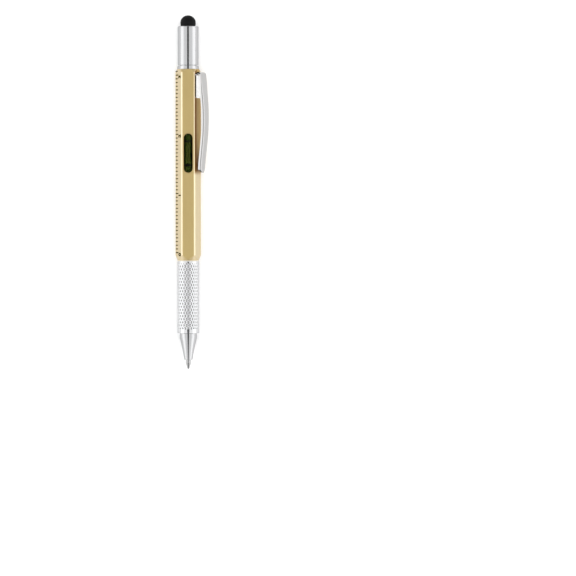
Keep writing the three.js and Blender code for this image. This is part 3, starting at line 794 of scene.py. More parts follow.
def gold_lacquer():
    """Gold lacquer with a painted highlight on its corners, a satin front and painted shade under the
    clip.
    """
    material, graph = finish("gold_lacquer")
    grain = noise(graph, 0.05, 2.5, 3)
    cloud = noise(graph, 2.5, 14)
    colour = blend(graph, (0.4, 0.296, 0.116), (0.475, 0.358, 0.147), cloud * 0.7 + grain * 0.3)
    across, along, up, radius = on_pen(graph)
    corner_start = flat_distance / math.cos(thirty - corner_round * math.sin(thirty) / barrel_corner)
    # Painted highlight: the rounded corners are painted a paler cream, where the lamps' highlight
    # falls.
    corner_highlight = radius.rise(corner_start * MM, corner_highlight_width * MM)
    colour = blend(graph, colour, (0.72, 0.6, 0.36), corner_highlight)
    covered, shaded = under_clip(across, along, up)
    # Painted shade: browner where the arm covers the clip's face, and near black brown where the arm's
    # shade is deepest.
    colour = blend(graph, colour, (0.44, 0.285, 0.08), covered)
    colour = blend(graph, colour, (0.22, 0.09, 0.004), shaded)
    satin = up.rise((flat_distance - satin_depth) * MM, satin_fade * MM)
    shown(graph, base_color=colour, metallic=0.3, roughness=grain * 0.06 + covered * 0.14 + 0.28,
          coat_weight=1 - covered.larger(satin * 0.9), coat_roughness=0.08, coat_ior=1.92,
          normal=bump(graph, grain, 0.0012))
    return material


def bright_chrome():
    material, graph = finish("chrome_polished")
    haze = noise(graph, 1.2, 5)
    hairlines = noise(graph, 0.03, 0.9, 3)
    tint = mottled(graph, (0.45, 0.452, 0.458), 0.94, haze)
    shown(graph, base_color=tint, metallic=1, roughness=haze * 0.03 + hairlines * 0.02 + 0.06,
          specular_tint=opaque((0.7, 0.7, 0.71)), normal=bump(graph, hairlines, 0.0004))
    return material


def knurled_chrome():
    """Bright crests over grooves that are rougher and painted darker: painted shade in the grooves."""
    material, graph = finish("chrome_knurled")
    haze = noise(graph, 1.2, 5)
    hairlines = noise(graph, 0.03, 0.9, 3)
    radius = on_pen(graph)[-1]
    sunk = (grip_radius * MM - radius) / (knurl_depth * MM)
    dull_and_shaded = sunk.rise(0.2, 0.6) * (radius - (grip_radius - knurl_wall) * MM > 0)
    tint = blend(graph, (0.6, 0.602, 0.61), (0.55, 0.552, 0.56), haze)
    # Painted shade: the grooves and their crossings are painted dark.
    tint = blend(graph, tint, (0.06, 0.06, 0.06), dull_and_shaded * 0.85)
    shown(graph, base_color=tint, metallic=1, roughness=haze * 0.03 + dull_and_shaded * 0.25 + 0.05,
          specular_tint=opaque((0.7, 0.7, 0.71)), normal=bump(graph, hairlines, 0.0004))
    return material


def strip_steel(name, base, roughness, metallic, glow):
    """Polished strip, brushed lengthwise, with painted shade: side faces that its mesh marks are dark.
    A faint glow stands for the light that a mirror face would throw back from the gap under the arm."""
    material, graph = finish(name)
    brushed = noise(graph, 0.04, 3, 3, -sixty)
    haze = noise(graph, 1.5, 6)
    cut = graph.add("ShaderNodeAttribute", {"attribute_name": painted_edge_shade}, output="Fac")
    bright = mottled(graph, base, 0.88, haze * 0.6 + brushed * 0.4)
    tint = blend(graph, bright, (0.03, 0.026, 0.014), cut)
    # Painted shade: the marked side faces are painted near black.
    light = blend(graph, (glow, glow, glow), (0, 0, 0), cut)
    shown(graph, base_color=tint, metallic=metallic,
          roughness=brushed * 0.06 + cut * 0.3 + roughness,
          emission_color=light, emission_strength=1, normal=bump(graph, brushed, 0.0008))
    return material


def rubber(name, base, roughness):
    material, graph = finish(name)
    skin = noise(graph, 0.08, 0.08, 3)
    wear = noise(graph, 1.6, 1.6)
    tint = mottled(graph, base, 1.7, wear)
    shown(graph, base_color=tint, roughness=wear * 0.08 + roughness, specular_ior_level=0.1,
          normal=bump(graph, skin, 0.004))
    return material


def clear_acrylic():
    material, graph = finish("clear_acrylic")
    haze = noise(graph, 0.8, 2.5)
    shown(graph, base_color=opaque((0.9, 0.98, 0.75)), roughness=haze * 0.02 + 0.01,
          transmission_weight=1, ior=1.28, specular_tint=opaque((0.85, 1, 0.25)),
          normal=bump(graph, haze, 0.002))
    return material


def vial_filling(name, dark, light, across, along):
    """What the vial holds, cloudy in patches of a size."""
    material, graph = finish(name)
    tint = blend(graph, dark, light, noise(graph, across, along))
    shown(graph, base_color=tint, roughness=0.2, transmission_weight=0.15, ior=1.15)
    return material


def printed_ink(name, base, roughness, gloss):
    material, graph = finish(name)
    speck = noise(graph, 0.06, 0.06, 3)
    tint = blend(graph, base, tuple(channel * 1.8 + 0.004 for channel in base), speck)
    shown(graph, base_color=tint, roughness=speck * 0.2 + roughness, specular_ior_level=gloss,
          normal=bump(graph, speck, 0.002))
    return material


def turned_metal(name, base, roughness, ridge=0.08):
    """Machined metal with fine rings round the pen's axis."""
    material, graph = finish(name)
    rings = noise(graph, 40, ridge, 2)
    stain = noise(graph, 0.9, 1.4)
    tint = mottled(graph, base, 0.82, stain)
    shown(graph, base_color=tint, metallic=1, roughness=rings * 0.1 + stain * 0.06 + roughness,
          normal=bump(graph, rings, 0.003))
    return material


def hard_steel():
    """Ground and blacked steel of the bit, the writing ball and the pin."""
    material, graph = finish("hard_steel")
    ground = noise(graph, 0.05, 0.7, 3)
    stain = noise(graph, 1.1, 2.2)
    tint = blend(graph, (0.34, 0.345, 0.36), (0.5, 0.5, 0.51), ground * 0.5 + stain * 0.5)
    shown(graph, base_color=tint, metallic=1, roughness=ground * 0.14 + 0.26,
          normal=bump(graph, ground, 0.002))
    return material


def moulded(name, base, roughness):
    material, graph = finish(name)
    speck = noise(graph, 0.05, 0.05, 3)
    flow = noise(graph, 1.2, 6)
    tint = mottled(graph, base, 0.9, flow)
    shown(graph, base_color=tint, roughness=speck * 0.12 + roughness,
          normal=bump(graph, speck, 0.002))
    return material


gold = gold_lacquer()
chrome = bright_chrome()
knurl_chrome = knurled_chrome()
arm_steel = strip_steel("clip_steel", (0.45, 0.446, 0.442), 0.08, 1, 0)
plate_steel = strip_steel("plate_steel", (0.97, 0.97, 0.96), 0.3, 0.2, 0.45)
dome_rubber = rubber("stylus_rubber", (0.0035, 0.0035, 0.0037), 0.6)
seal_rubber = rubber("seal_rubber", (0.02, 0.02, 0.021), 0.42)
acrylic = clear_acrylic()
green_liquid = vial_filling("level_liquid", (0.004, 0.024, 0.0005), (0.008, 0.036, 0.001), 1.1, 3)
air = vial_filling("level_air", (0.026, 0.032, 0.002), (0.04, 0.044, 0.004), 0.9, 2)
band_paint = printed_ink("vial_band_paint", (0.0005, 0.001, 0.0003), 0.5, 0.05)
scale_ink = printed_ink("scale_ink", (0.03, 0.022, 0.003), 0.7, 0)
cradle_black = moulded("cradle_black", (0.008, 0.009, 0.007), 0.5)
acetal = moulded("acetal_white", (0.8, 0.78, 0.72), 0.42)
brass = turned_metal("turned_brass", (0.78, 0.56, 0.22), 0.2)
nickel = turned_metal("turned_nickel_silver", (0.42, 0.42, 0.42), 0.06, 0.06)
spring_wire = turned_metal("spring_wire", (0.6, 0.6, 0.6), 0.24)
tool_steel = hard_steel()
ink_paste = printed_ink("ink_paste", (0.01, 0.016, 0.1), 0.3, 0.3)


def fitted(piece, body, slot, material, *nodes):
    """Dresses a finished piece, and gives it its body and the nodes it stands for. Its slot is not
    used.
    """
    piece.data.materials.clear()
    piece.data.materials.append(material)
    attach(piece, body)
    if nodes:
        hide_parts(*nodes)
    return piece


def carried_over(material, *nodes):
    """Gives CAD nodes that stay a finish of their own."""
    for node in nodes:
        mesh = frame["nodes"][node].data
        mesh.materials.clear()
        mesh.materials.append(material)


helical_relief = relief_tree()
ruler_ticks = ticks_tree()


# Barrel

def hexagon_radius(angle):
    """Radius of the barrel's rounded six-sided section. Angle 0 is up, at a flat's middle."""
    off_corner = thirty - abs((angle + thirty) % sixty - thirty)
    if off_corner > corner_tangent:
        return flat_distance / math.cos(thirty - off_corner)
    side = corner_centre * math.sin(off_corner)
    return corner_centre * math.cos(off_corner) + math.sqrt(corner_round ** 2 - side ** 2)


def turned_limit(place):
    """Radius that the turning tool leaves near both ends of the barrel."""
    from_top = barrel_top - place
    from_bottom = place - barrel_bottom
    length, depth = top_chamfer
    upper = barrel_corner - depth + depth * from_top / length
    length, depth = bottom_chamfer
    lower = barrel_corner - depth + depth * max(from_bottom - bottom_land, 0) / length
    if from_bottom < end_round:
        lower -= end_round - math.sqrt(end_round ** 2 - (end_round - from_bottom) ** 2)
    return min(upper, lower)


def blended_least(a, b, width):
    """The smaller of two radii, with a round of that width where they meet."""
    near = max(width - abs(a - b), 0) / width
    return min(a, b) - near ** 2 * width / 4


def barrel_columns():
    """Angles of the barrel's lengthwise rows, closer together round its corners."""
    flat = steps_between(-thirty + corner_tangent, thirty - corner_tangent, flat_steps)
    bend = steps_between(thirty - corner_tangent, thirty + corner_tangent, corner_steps)[1:-1]
    return [angle + side * sixty for side in range(6) for angle in flat + bend]


def barrel_places():
    """Places of the barrel's rings, closer together at its ends."""
    bottom_end = bottom_land + bottom_chamfer[0] + chamfer_margin
    low = steps_between(0, end_round, round_steps)
    low += steps_between(end_round, bottom_end, bottom_chamfer_steps)[1:]
    high = steps_between(0, top_chamfer[0] + chamfer_margin, top_chamfer_steps)
    middle = steps_between(barrel_bottom + low[-1], barrel_top - high[-1], barrel_steps)[1:-1]
    return [*(barrel_bottom + off for off in low), *middle,
            *(barrel_top - off for off in reversed(high))]


def slot_outline(width, length):
    radius = width / 2
    reach = length / 2 - radius
    return (arc(0, reach, radius, 0, math.pi, arc_steps)
            + arc(0, -reach, radius, math.pi, 2 * math.pi, arc_steps))


def window_cutter():
    inner = slot_outline(window_width, window_length)
    outer = slot_outline(window_width + 2 * window_chamfer, window_length + 2 * window_chamfer)
    edge = math.sqrt(bore_radius ** 2 - (window_width / 2) ** 2)
    levels = [(inner, edge - overrun), (inner, flat_distance - window_chamfer),
              (outer, flat_distance), (outer, flat_distance + overrun)]
    return loft("window_cutter", [
        [(x, y + window_centre, height) for x, y in outline] for outline, height in levels
    ])


plate_floor = flat_distance + contact_gap
plate_face = plate_floor + clip_thickness
plate_bottom = clip_top - clip_plate_length
fold_radius = clip_thickness + clip_fold_inner
fold_height = plate_floor + fold_radius
fold_place = clip_top - fold_radius
rivet_places = {
    "clip_rivet_upper": fold_place - rivet_inset,
    "clip_rivet_lower": plate_bottom + rivet_inset,
}


def rivet_profile(clearance, face_round=0):
    """Profile of a rivet, or of its cutter where a clearance is given."""
    seat = plate_floor + rivet_head_land
    tail_end = bore_radius + contact_gap
    tail = [
        (0, tail_end - clearance),
        (rivet_tail_radius + clearance, tail_end - clearance),
        (rivet_radius + clearance, tail_end + rivet_tail_height),
        (rivet_radius + clearance, seat),
        (rivet_head_radius + clearance, plate_face, face_round),
    ]
    if not clearance:
        return tail + [(0, plate_face)]
    above = plate_face + overrun
    return tail + [(rivet_head_radius + clearance, above), (0, above)]


def rivet_cutters():
    return [standing("rivet_cutter", rivet_profile(seat_clearance), place)
            for place in rivet_places.values()]


def barrel_ring(columns, place, radii):
    return [(radius * math.sin(angle), place, radius * math.cos(angle))
            for angle, radius in zip(columns, radii)]


def barrel_shell():
    columns = barrel_columns()
    rings = []
    for place in barrel_places():
        limit = turned_limit(place)
        radii = [blended_least(hexagon_radius(angle), limit, edge_blend) for angle in columns]
        rings.append(barrel_ring(columns, place, radii))
    for place in (barrel_top, barrel_bottom):
        rings.append(barrel_ring(columns, place, [bore_radius] * len(columns)))
    piece = loft("barrel_shell", rings, capped=False)
    combined(piece, "DIFFERENCE", [window_cutter(), *rivet_cutters()])
    fitted(smooth(piece), "barrel", "barrel_gold", gold, "hex_barrel")


# Printed scales

def numeral(text):
    """A digit as a solid mesh, centred on its own middle."""
    curve = bpy.data.curves.new("numeral", "FONT")
    curve.body = text
    curve.align_x = "CENTER"
    curve.align_y = "CENTER"
    curve.size = numeral_height / numeral_height_share * MM
    curve.resolution_u = numeral_resolution
    curve.offset = numeral_boldness * MM
    curve.extrude = print_thickness / 2 * MM
    holder = linked("numeral", curve)
    mesh = evaluated_mesh(holder)
    bpy.data.objects.remove(holder)
    faces_out(mesh, merge_distance)
    mesh.transform(Matrix.Translation((0, 0, print_thickness / 2 * MM)))
    return mesh


def printed_scale(name, side, zero, ticks, labels, label_shift):
    """Ticks that start at the barrel's corner on -X, with a numeral at each whole unit. The scale
    is on the face above that corner where side is 1, and on the one below it where side is -1."""
    normal = direction(side * thirty - math.pi / 2)
    inward = direction(side * (thirty + math.pi / 2) - math.pi / 2)
    along = normal.cross(inward)
    edge = (flat_distance - corner_round) * math.tan(thirty)
    origin = normal * flat_distance - inward * edge
    origin = Vector((origin.x, zero, origin.z + axis_height)) * MM
    piece = linked(name, bpy.data.meshes.new(name))
    grown(piece, ruler_ticks, {**ticks, "Material": scale_ink})
    piece.data.transform(placed(origin, inward, along, normal))
    shape = bmesh.new()
    shape.from_mesh(piece.data)
    middle, offset = label_shift
    for text, unit in labels:
        mesh = numeral(text)
        spot = origin + (inward * middle + along * (unit + offset)) * MM
        mesh.transform(placed(spot, along, -inward, normal))
        shape.from_mesh(mesh)
        bpy.data.meshes.remove(mesh)
    shape.to_mesh(piece.data)
    shape.free()
    fitted(piece, "barrel", "black_plastic", scale_ink)


def ruler_sizes(count, pitch, lengths, medium_every, long_every):
    short, medium, long = lengths
    return {
        "Count": count, "Pitch": pitch * MM, "Width": tick_width * MM,
        "Thickness": print_thickness * MM, "Short": short * MM, "Medium": medium * MM,
        "Long": long * MM, "Medium Every": float(medium_every), "Long Every": float(long_every),
    }


def scales():
    ticks = ruler_sizes(inch_tick_count, inch / 16, inch_ticks, 4, 16)
    labels = [(str(i), i * inch) for i in range(4)]
    printed_scale("inch_scale", 1, inch_zero, ticks, labels, inch_numeral_shift)
    ticks = ruler_sizes(millimetre_tick_count, 1, millimetre_ticks, 5, 10)
    labels = [(str(i), i * 10) for i in range(8)]
    printed_scale("centimetre_scale", -1, centimetre_zero, ticks, labels, centimetre_numeral_shift)


# Level

def vial():
    vial_bore = vial_radius - vial_wall
    floor = vial_bottom + vial_floor
    tube = turned("vial_tube", [
        (0, vial_bottom), (vial_radius, vial_bottom, vial_end_round),
        (vial_radius, vial_top, vial_rim_outer_round), (vial_bore, vial_top, vial_rim_inner_round),
        (vial_bore, floor, vial_floor_round), (0, floor),
    ], sides, vial_height)
    fitted(smooth(tube), "barrel", "vial_clear", acrylic, "level_vial")
    profile = rod_profile("vial_plug", *stopper_rounds)
    stopper = turned("vial_stopper", profile, small_sides, vial_height)
    fitted(smooth(stopper), "barrel", "vial_clear", acrylic, "vial_plug")


def bubble_and_liquid():
    """The bubble, and the liquid with an open track along its top for the bubble's travel."""
    bottom, top = span("vial_bubble")
    radius = radius_of("vial_bubble")
    height = height_of("vial_bubble")
    bubble = capsule("level_bubble", radius, bottom, top, height)
    fitted(smooth(bubble), "bubble", "level_bubble", air, "vial_bubble")

    travel = next(joint for joint in frame["joints"] if joint["name"] == "bubble_drift")["range_m"]
    low = bottom + travel[0] / MM - running_clearance
    high = top + travel[1] / MM + running_clearance
    track_radius = radius + running_clearance
    track = capsule("track_cutter", track_radius, low, high, height)
    half = track_radius / 2
    mouth = loft("mouth_cutter", [
        [(x, y, height + rise) for x, y in (
            (-half, low + track_radius), (half, low + track_radius),
            (half, high - track_radius), (-half, high - track_radius))]
        for rise in (0, track_radius + overrun)
    ])
    profile = rod_profile("vial_liquid", *liquid_rounds)
    liquid = turned("level_fluid", profile, sides, vial_height)
    combined(liquid, "DIFFERENCE", [track, mouth])
    fitted(smooth(liquid), "barrel", "level_liquid", green_liquid, "vial_liquid")


def vial_bands():
    inner = vial_radius + seat_clearance
    for node in ("vial_mark_upper", "vial_mark_lower"):
        low, high = span(node)
        low -= band_bleed
        high += band_bleed
        radius = radius_of(node)
        band = turned(node.replace("mark", "band"), [
            (inner, low), (radius, low, band_round), (radius, high, band_round), (inner, high),
        ], sides, vial_height, ring=True)
        fitted(smooth(band), "barrel", "black_plastic", band_paint, node)


# Bit holder and bit

def thread_relief(radius, top, bottom, depth):
    """A thread is a relief with one family of grooves and one start."""
    return relief_sizes(radius, top, bottom, depth, thread_run_out, (1.0, 1 / thread_pitch),
                        (0.0, 0.0), thread_shares, chrome)


def socket_cutters():
    """Cutters for the magnet's pocket, the bit's hexagon and the socket's mouth."""
    floor = bit_bottom - seat_clearance
    magnet_low = span("bit_magnet")[0]
    pocket_radius = radius_of("bit_magnet") + seat_clearance
    pocket = turned("pocket_cutter", [
        (0, magnet_low - contact_gap), (pocket_radius, magnet_low - contact_gap),
        (pocket_radius, floor + overrun), (0, floor + overrun),
    ], small_sides)
    socket = hexagon_rod("socket_cutter", bit_width + 2 * seat_clearance, floor,
                         spigot_top + overrun, socket_corner_round)
    mouth_radius = bit_width / 2 / math.cos(thirty) + socket_mouth
    mouth = turned("mouth_cutter", [
        (0, spigot_top - mouth_radius), (mouth_radius + overrun, spigot_top + overrun),
        (0, spigot_top + overrun),
    ], small_sides)
    return [pocket, socket, mouth]


def bit_holder():
    insert_radius = bore_radius - seat_clearance
    seal_half = (seal_top - seal_bottom) / 2 + seat_clearance
    groove_floor = seal_radius - 2 * seal_half + seat_clearance
    groove_low = seal_middle - seal_half
    groove_high = seal_middle + seal_half
    thread_low = groove_high + thread_margin
    thread_high = spigot_top - spigot_bevel
    thread = [(spigot_radius, place) for place in steps_between(thread_low, thread_high, thread_steps)]
    collar_floor = barrel_top + contact_gap
    piece = turned("bit_socket", [
        (0, holder_bottom), (insert_radius, holder_bottom, insert_round),
        (insert_radius, collar_floor),
        (barrel_corner - top_chamfer[1], collar_floor, collar_base_round),
        (cap_radius + contact_gap, collar_top, collar_round), (spigot_radius, collar_top),
        (spigot_radius, groove_low, groove_round), (groove_floor, groove_low),
        (groove_floor, groove_high), (spigot_radius, groove_high, groove_round), *thread,
        (spigot_radius - spigot_bevel, spigot_top, spigot_round), (0, spigot_top),
    ])
    combined(piece, "DIFFERENCE", socket_cutters())
    grown(piece, helical_relief, thread_relief(spigot_radius, thread_high, thread_low, thread_depth))
    fitted(smooth(piece), "barrel", "chrome_plate", chrome, "bit_holder")


def bit_magnet():
    profile = rod_profile("bit_magnet", magnet_round, magnet_round)
    magnet = turned("socket_magnet", profile, small_sides)
    fitted(smooth(magnet), "barrel", "tool_steel", nickel, "bit_magnet")


def cap_seal():
    radius = (seal_top - seal_bottom) / 2
    section = arc(seal_radius - radius, seal_middle, radius, 0, 2 * math.pi, arc_steps)[:-1]
    seal = turned("cap_o_ring", section, ring=True)
    fitted(smooth(seal), "barrel", "black_rubber", seal_rubber, "cap_seal")


def driver_bit():
    blade = bit_top - bit_neck_length
    cross = bit_bottom + bit_neck_length
    corner = bit_width / 2 / math.cos(thirty) + contact_gap
    piece = turned("reversible_bit", [
        (0, bit_bottom), (cross_point_radius, bit_bottom, cross_point_round),
        (bit_neck_radius, bit_bottom + cross_cone_length, cross_cone_round),
        (bit_neck_radius, cross, bit_neck_round), (corner, cross + bit_shoulder),
        (corner, blade - bit_shoulder), (bit_neck_radius, blade, bit_neck_round),
        (bit_neck_radius, bit_top), (0, bit_top),
    ])
    hexagon = hexagon_rod("hexagon", bit_width, bit_bottom - overrun, bit_top + overrun,
                          bit_corner_round)
    combined(piece, "INTERSECT", [hexagon])
    combined(piece, "DIFFERENCE", blade_cutters() + flute_cutters())
    fitted(smooth(piece), "bit", "tool_steel", tool_steel, "driver_bit")


def blade_cutters():
    """Two wedges that leave the slotted point's blade."""
    far = bit_neck_radius + overrun
    half = blade_thickness / 2
    taper_start = bit_top - blade_taper_length
    wedge = [(half, bit_top + overrun), (far, bit_top + overrun), (far, taper_start),
             (bit_neck_radius, taper_start), (half, bit_top - blade_thickness)]
    return [loft("wedge", [[(x, place, side * out) for out, place in wedge] for x in (-far, far)])
            for side in (1, -1)]


def flute_cutters():
    """Four flutes that leave the wings of the cross point."""
    far = bit_neck_radius + overrun

    def ring(near, place, turn):
        square = ((near, near), (far, near), (far, far), (near, far))
        return [(x * math.cos(turn) - z * math.sin(turn), place,
                 x * math.sin(turn) + z * math.cos(turn)) for x, z in square]

    return [loft("flute", [
        ring(cross_wing / 2, bit_bottom - overrun, quarter * math.pi / 2),
        ring(bit_neck_radius, bit_bottom + cross_length, quarter * math.pi / 2),
    ]) for quarter in range(4)]


# Cap and stylus

def screw_cap():
    bore = cap_radius - cap_wall
    hole = neck_radius + seat_clearance
    thread_low = cap_bottom + cap_thread_start
    thread_high = cap_bottom + cap_thread_end
    thread = [(bore, place) for place in steps_between(thread_high, thread_low, thread_steps)]
    tube = turned("screw_cap", [
        (bore, cap_bottom, cap_mouth_inner_round), (cap_radius, cap_bottom, cap_mouth_outer_round),
        (cap_radius, cap_top, cap_top_round), (hole, cap_top, cap_hole_round),
        (hole, cap_ceiling), (bore, cap_ceiling), *thread,
    ], ring=True)
    grown(tube, helical_relief, thread_relief(bore, thread_high, thread_low, -thread_depth))
    fitted(smooth(tube), "cap", "chrome_plate", chrome, "cap_tube")


def stylus_anchor():
    low, high = span("stylus_plug")
    radius = radius_of("stylus_plug")
    head_top = cap_ceiling - contact_gap
    stem = stem_radius - seat_clearance
    lower_round, upper_round = anchor_bevel_rounds
    anchor = turned("stylus_anchor", [
        (0, low), (radius, low, anchor_round), (radius, head_top, anchor_round), (stem, head_top),
        (stem, high - anchor_bevel, lower_round),
        (stem_radius - anchor_bevel, high, upper_round), (0, high),
    ], small_sides)
    fitted(smooth(anchor), "cap", "brass", brass, "stylus_plug")


def stylus_dome():
    base = cap_top + contact_gap
    widest = base + dome_widest_height
    rise = span("stylus_tip")[1] - widest
    outside = [(dome_radius * across, widest + rise * up)
               for across, up in arc(0, 0, 1, math.pi / 2, 0, dome_steps)[1:]]
    hollow = [((stem_radius * across) + seat_clearance, cap_top + (rise - dome_skin) * up)
              for across, up in arc(0, 0, 1, 0, math.pi / 2, short_arc_steps)[:-1]]
    neck_end = cap_ceiling + contact_gap
    dome = turned("stylus_dome", [
        (0, widest + rise), *outside, (dome_base_radius, base, dome_base_round),
        (neck_radius, base), (neck_radius, neck_end, neck_round),
        (stem_radius + seat_clearance, neck_end), *hollow, (0, cap_top + rise - dome_skin),
    ])
    fitted(smooth(dome), "cap", "black_rubber", dome_rubber, "stylus_tip")


# Clip

def mark_cut_edges(piece, lowest):
    """Marks the strip's side faces above a place along the pen, where shade is painted."""
    marks = piece.data.attributes.new(painted_edge_shade, "FLOAT", "FACE")
    sideways = direction(sixty + math.pi / 2)
    for face in piece.data.polygons:
        is_side = abs(face.normal.dot(sideways)) > edge_shade_share
        marks.data[face.index].value = float(is_side and face.center.y > lowest * MM)


def between(p, q, start, end, now):
    """A point of the line from p at start to q at end."""
    return p * ((end - now) / (end - start)) + q * ((now - start) / (end - start))


def smooth_line(points, steps):
    """Fine points of a smooth line through points, and the way travelled to each of them. The
    knots are as far apart as the square roots of the points' distances."""
    ends = [points[0] * 2 - points[1], *points, points[-1] * 2 - points[-2]]
    fine = []
    for a, b, c, d in zip(ends, ends[1:], ends[2:], ends[3:]):
        knots = [0.0]
        for near, far in ((a, b), (b, c), (c, d)):
            knots.append(knots[-1] + math.sqrt((far - near).length))
        for i in range(steps):
            now = knots[1] + (knots[2] - knots[1]) * i / steps
            one = between(a, b, knots[0], knots[1], now)
            two = between(b, c, knots[1], knots[2], now)
            three = between(c, d, knots[2], knots[3], now)
            first = between(one, two, knots[0], knots[2], now)
            second = between(two, three, knots[1], knots[3], now)
            fine.append(between(first, second, knots[1], knots[2], now))
    fine.append(points[-1])
    travelled = [0.0]
    for near, far in zip(fine, fine[1:]):
        travelled.append(travelled[-1] + (far - near).length)
    return fine, travelled


def fold_stations():
    """Stations round the fold: (point, direction out, half width, way along the arm)."""
    stations = []
    for angle in steps_between(-math.pi / 2, clip_fold_end, arc_steps):
        out = Vector((math.cos(angle), math.sin(angle)))
        point = Vector((fold_place, fold_height)) + out * fold_radius
        narrowed = fold_corner * (1 - abs(math.sin(angle)))
        stations.append((point, out, clip_width / 2 - narrowed, 0))
    return stations


def arm_stations(start):
    """Stations from the fold's end to the arm's round tip, like those of the fold."""
    line = [start] + [
        Vector((clip_top - along * clip_length, flat_distance + rise * clip_bow))
        for along, rise in arm_shares
    ]
    fine, travelled = smooth_line(line, clip_line_steps)
    length = travelled[-1]
    tip = clip_tip_width / 2
    ways = [((length - tip) * share, (clip_width + (clip_tip_width - clip_width) * share) / 2)
            for share in steps_between(0, 1, clip_arm_steps)[1:]]
    ways += [(length - tip + tip * math.sin(angle), tip * math.cos(angle))
             for angle in steps_between(0, math.acos(clip_tip_end_share), clip_tip_steps)[1:]]
    stations = []
    last = len(fine) - 1
    for away, half in ways:
        i = next(k for k in range(1, last + 1) if travelled[k] >= away or k == last)
        share = (away - travelled[i - 1]) / (travelled[i] - travelled[i - 1])
        point = fine[i - 1].lerp(fine[i], share)
        tangent = (fine[min(i + 1, last)] - fine[max(i - 2, 0)]).normalized()
        narrowed = fold_corner * (1 - math.sin(clip_fold_end)) * max(1 - away / fold_corner, 0)
        stations.append((point, Vector((tangent.y, -tangent.x)), half - narrowed, away))
    return stations


def arm_section(half, rib, grow):
    """Section of the strip: a crowned outer face, round shoulders and a rib down each side."""
    inner = half - min(clip_thickness, half / 2)
    edge = min(clip_edge_round, half / 4)
    shoulder = edge + (clip_shoulder_round - edge) * grow
    crown = clip_crown * grow
    flat = half - shoulder - support
    face = [(x, -crown * (x / half) ** 2) for x in steps_between(flat, -flat, clip_face_steps)]
    return rounded([
        (half, -crown, shoulder), *face, (-half, -crown, shoulder),
        (-half, -rib, edge), (-inner, -rib, edge), (-inner, -clip_thickness, edge / 2),
        (inner, -clip_thickness, edge / 2), (inner, -rib, edge), (half, -rib, edge),
    ], True)


def clip_arm():
    fold = fold_stations()
    rings = []
    for point, out, half, away in fold + arm_stations(fold[-1][0]):
        share = min(away / clip_rib_start, 1)
        grow = share * share * (3 - 2 * share) * min(1, half / (clip_tip_width / 2))
        rib = clip_thickness + (clip_rib_depth - clip_thickness) * grow + contact_gap
        rings.append(on_clip([(x, point.x + depth * out.x, point.y + depth * out.y)
                              for x, depth in arm_section(half, rib, grow)]))
    piece = loft("clip_spring_arm", rings)
    dimple_height = flat_distance + seat_clearance + dimple_radius
    dimple = standing("dimple", ball_profile(dimple_height, dimple_radius), clip_tip + dimple_inset)
    combined(piece, "UNION", [dimple])
    mark_cut_edges(piece, fold_place + fold_radius / 4)
    fitted(smooth(piece), "clip", "spring_steel", arm_steel, "clip_arm")


def clip_plate():
    top = fold_place - clip_fold_gap
    half = clip_width / 2
    bevel = clip_plate_bevel
    outline = rounded([
        (half, plate_bottom, clip_plate_round), (half, top), (-half, top),
        (-half, plate_bottom, clip_plate_round),
    ], True)
    inner = [(x * (1 - bevel / half), y + (bevel if y < plate_bottom + half else 0))
             for x, y in outline]
    levels = [(outline, plate_floor), (outline, plate_face - bevel), (inner, plate_face)]
    piece = loft("clip_base_plate", [
        on_clip([(x, y, height) for x, y in ring]) for ring, height in levels
    ])
    combined(piece, "DIFFERENCE", rivet_cutters())
    mark_cut_edges(piece, plate_bottom - overrun)
    fitted(smooth(piece), "barrel", "spring_steel", plate_steel, "clip_plate")


def rivets():
    for node, place in rivet_places.items():
        rivet = standing(node.replace("clip", "flush"), rivet_profile(0, rivet_face_round), place)
        fitted(smooth(rivet), "barrel", "spring_steel", plate_steel, node)


# Grip and nose

def knurled_grip():
    rows = steps_between(knurl_top, knurl_bottom, round(knurl_length / knurl_pitch * knurl_cells))
    profile = [
        (grip_bore, grip_top, grip_bore_round), (grip_radius, grip_top, grip_edge),
        *[(grip_radius, place) for place in rows],
        (grip_radius, grip_bottom, grip_edge), (grip_bore, grip_bottom, grip_bore_round),
    ]
    sleeve = turned("knurled_grip", profile, knurl_columns * knurl_cells, ring=True)
    family = (float(knurl_columns), 0.5 / knurl_pitch)
    grown(sleeve, helical_relief, relief_sizes(
        grip_radius, knurl_top, knurl_bottom, knurl_depth, knurl_run_out, family, family,
        knurl_shares, knurl_chrome))
    fitted(smooth(sleeve, knurl_sharp_angle), "grip", "chrome_plate", knurl_chrome, "grip_sleeve")


def nose_shell():
    insert = grip_bore - seat_clearance
    neck_top = grip_bottom - contact_gap
    shoulder = grip_bottom - nose_shoulder_length
    tip_bore = refill_radius + running_clearance
    taper = []
    for share in steps_between(0, 1, taper_steps):
        drawn = share + nose_hollow_share * share * (1 - share)
        radius = nose_shoulder_radius + (nose_tip_radius - nose_shoulder_radius) * drawn
        taper.append((radius, shoulder + (nose_tip - shoulder) * share))
    taper[0] = (*taper[0], nose_shoulder_round)
    taper[-1] = (*taper[-1], nose_tip_round)
    wide = (tip_bore + nose_tip_radius) / 2
    lip_end = nose_tip + nose_lip_length
    cone = turned("nose_shell", [
        (insert, nose_spigot_end, nose_spigot_round), (insert, neck_top),
        (nose_shoulder_radius, neck_top, nose_step_round), *taper,
        (tip_bore, nose_tip, nose_bore_round), (tip_bore, lip_end),
        (wide, lip_end + wide - tip_bore), (wide, nose_spigot_end),
    ], ring=True)
    fitted(smooth(cone), "grip", "chrome_plate", chrome, "nose_cone")


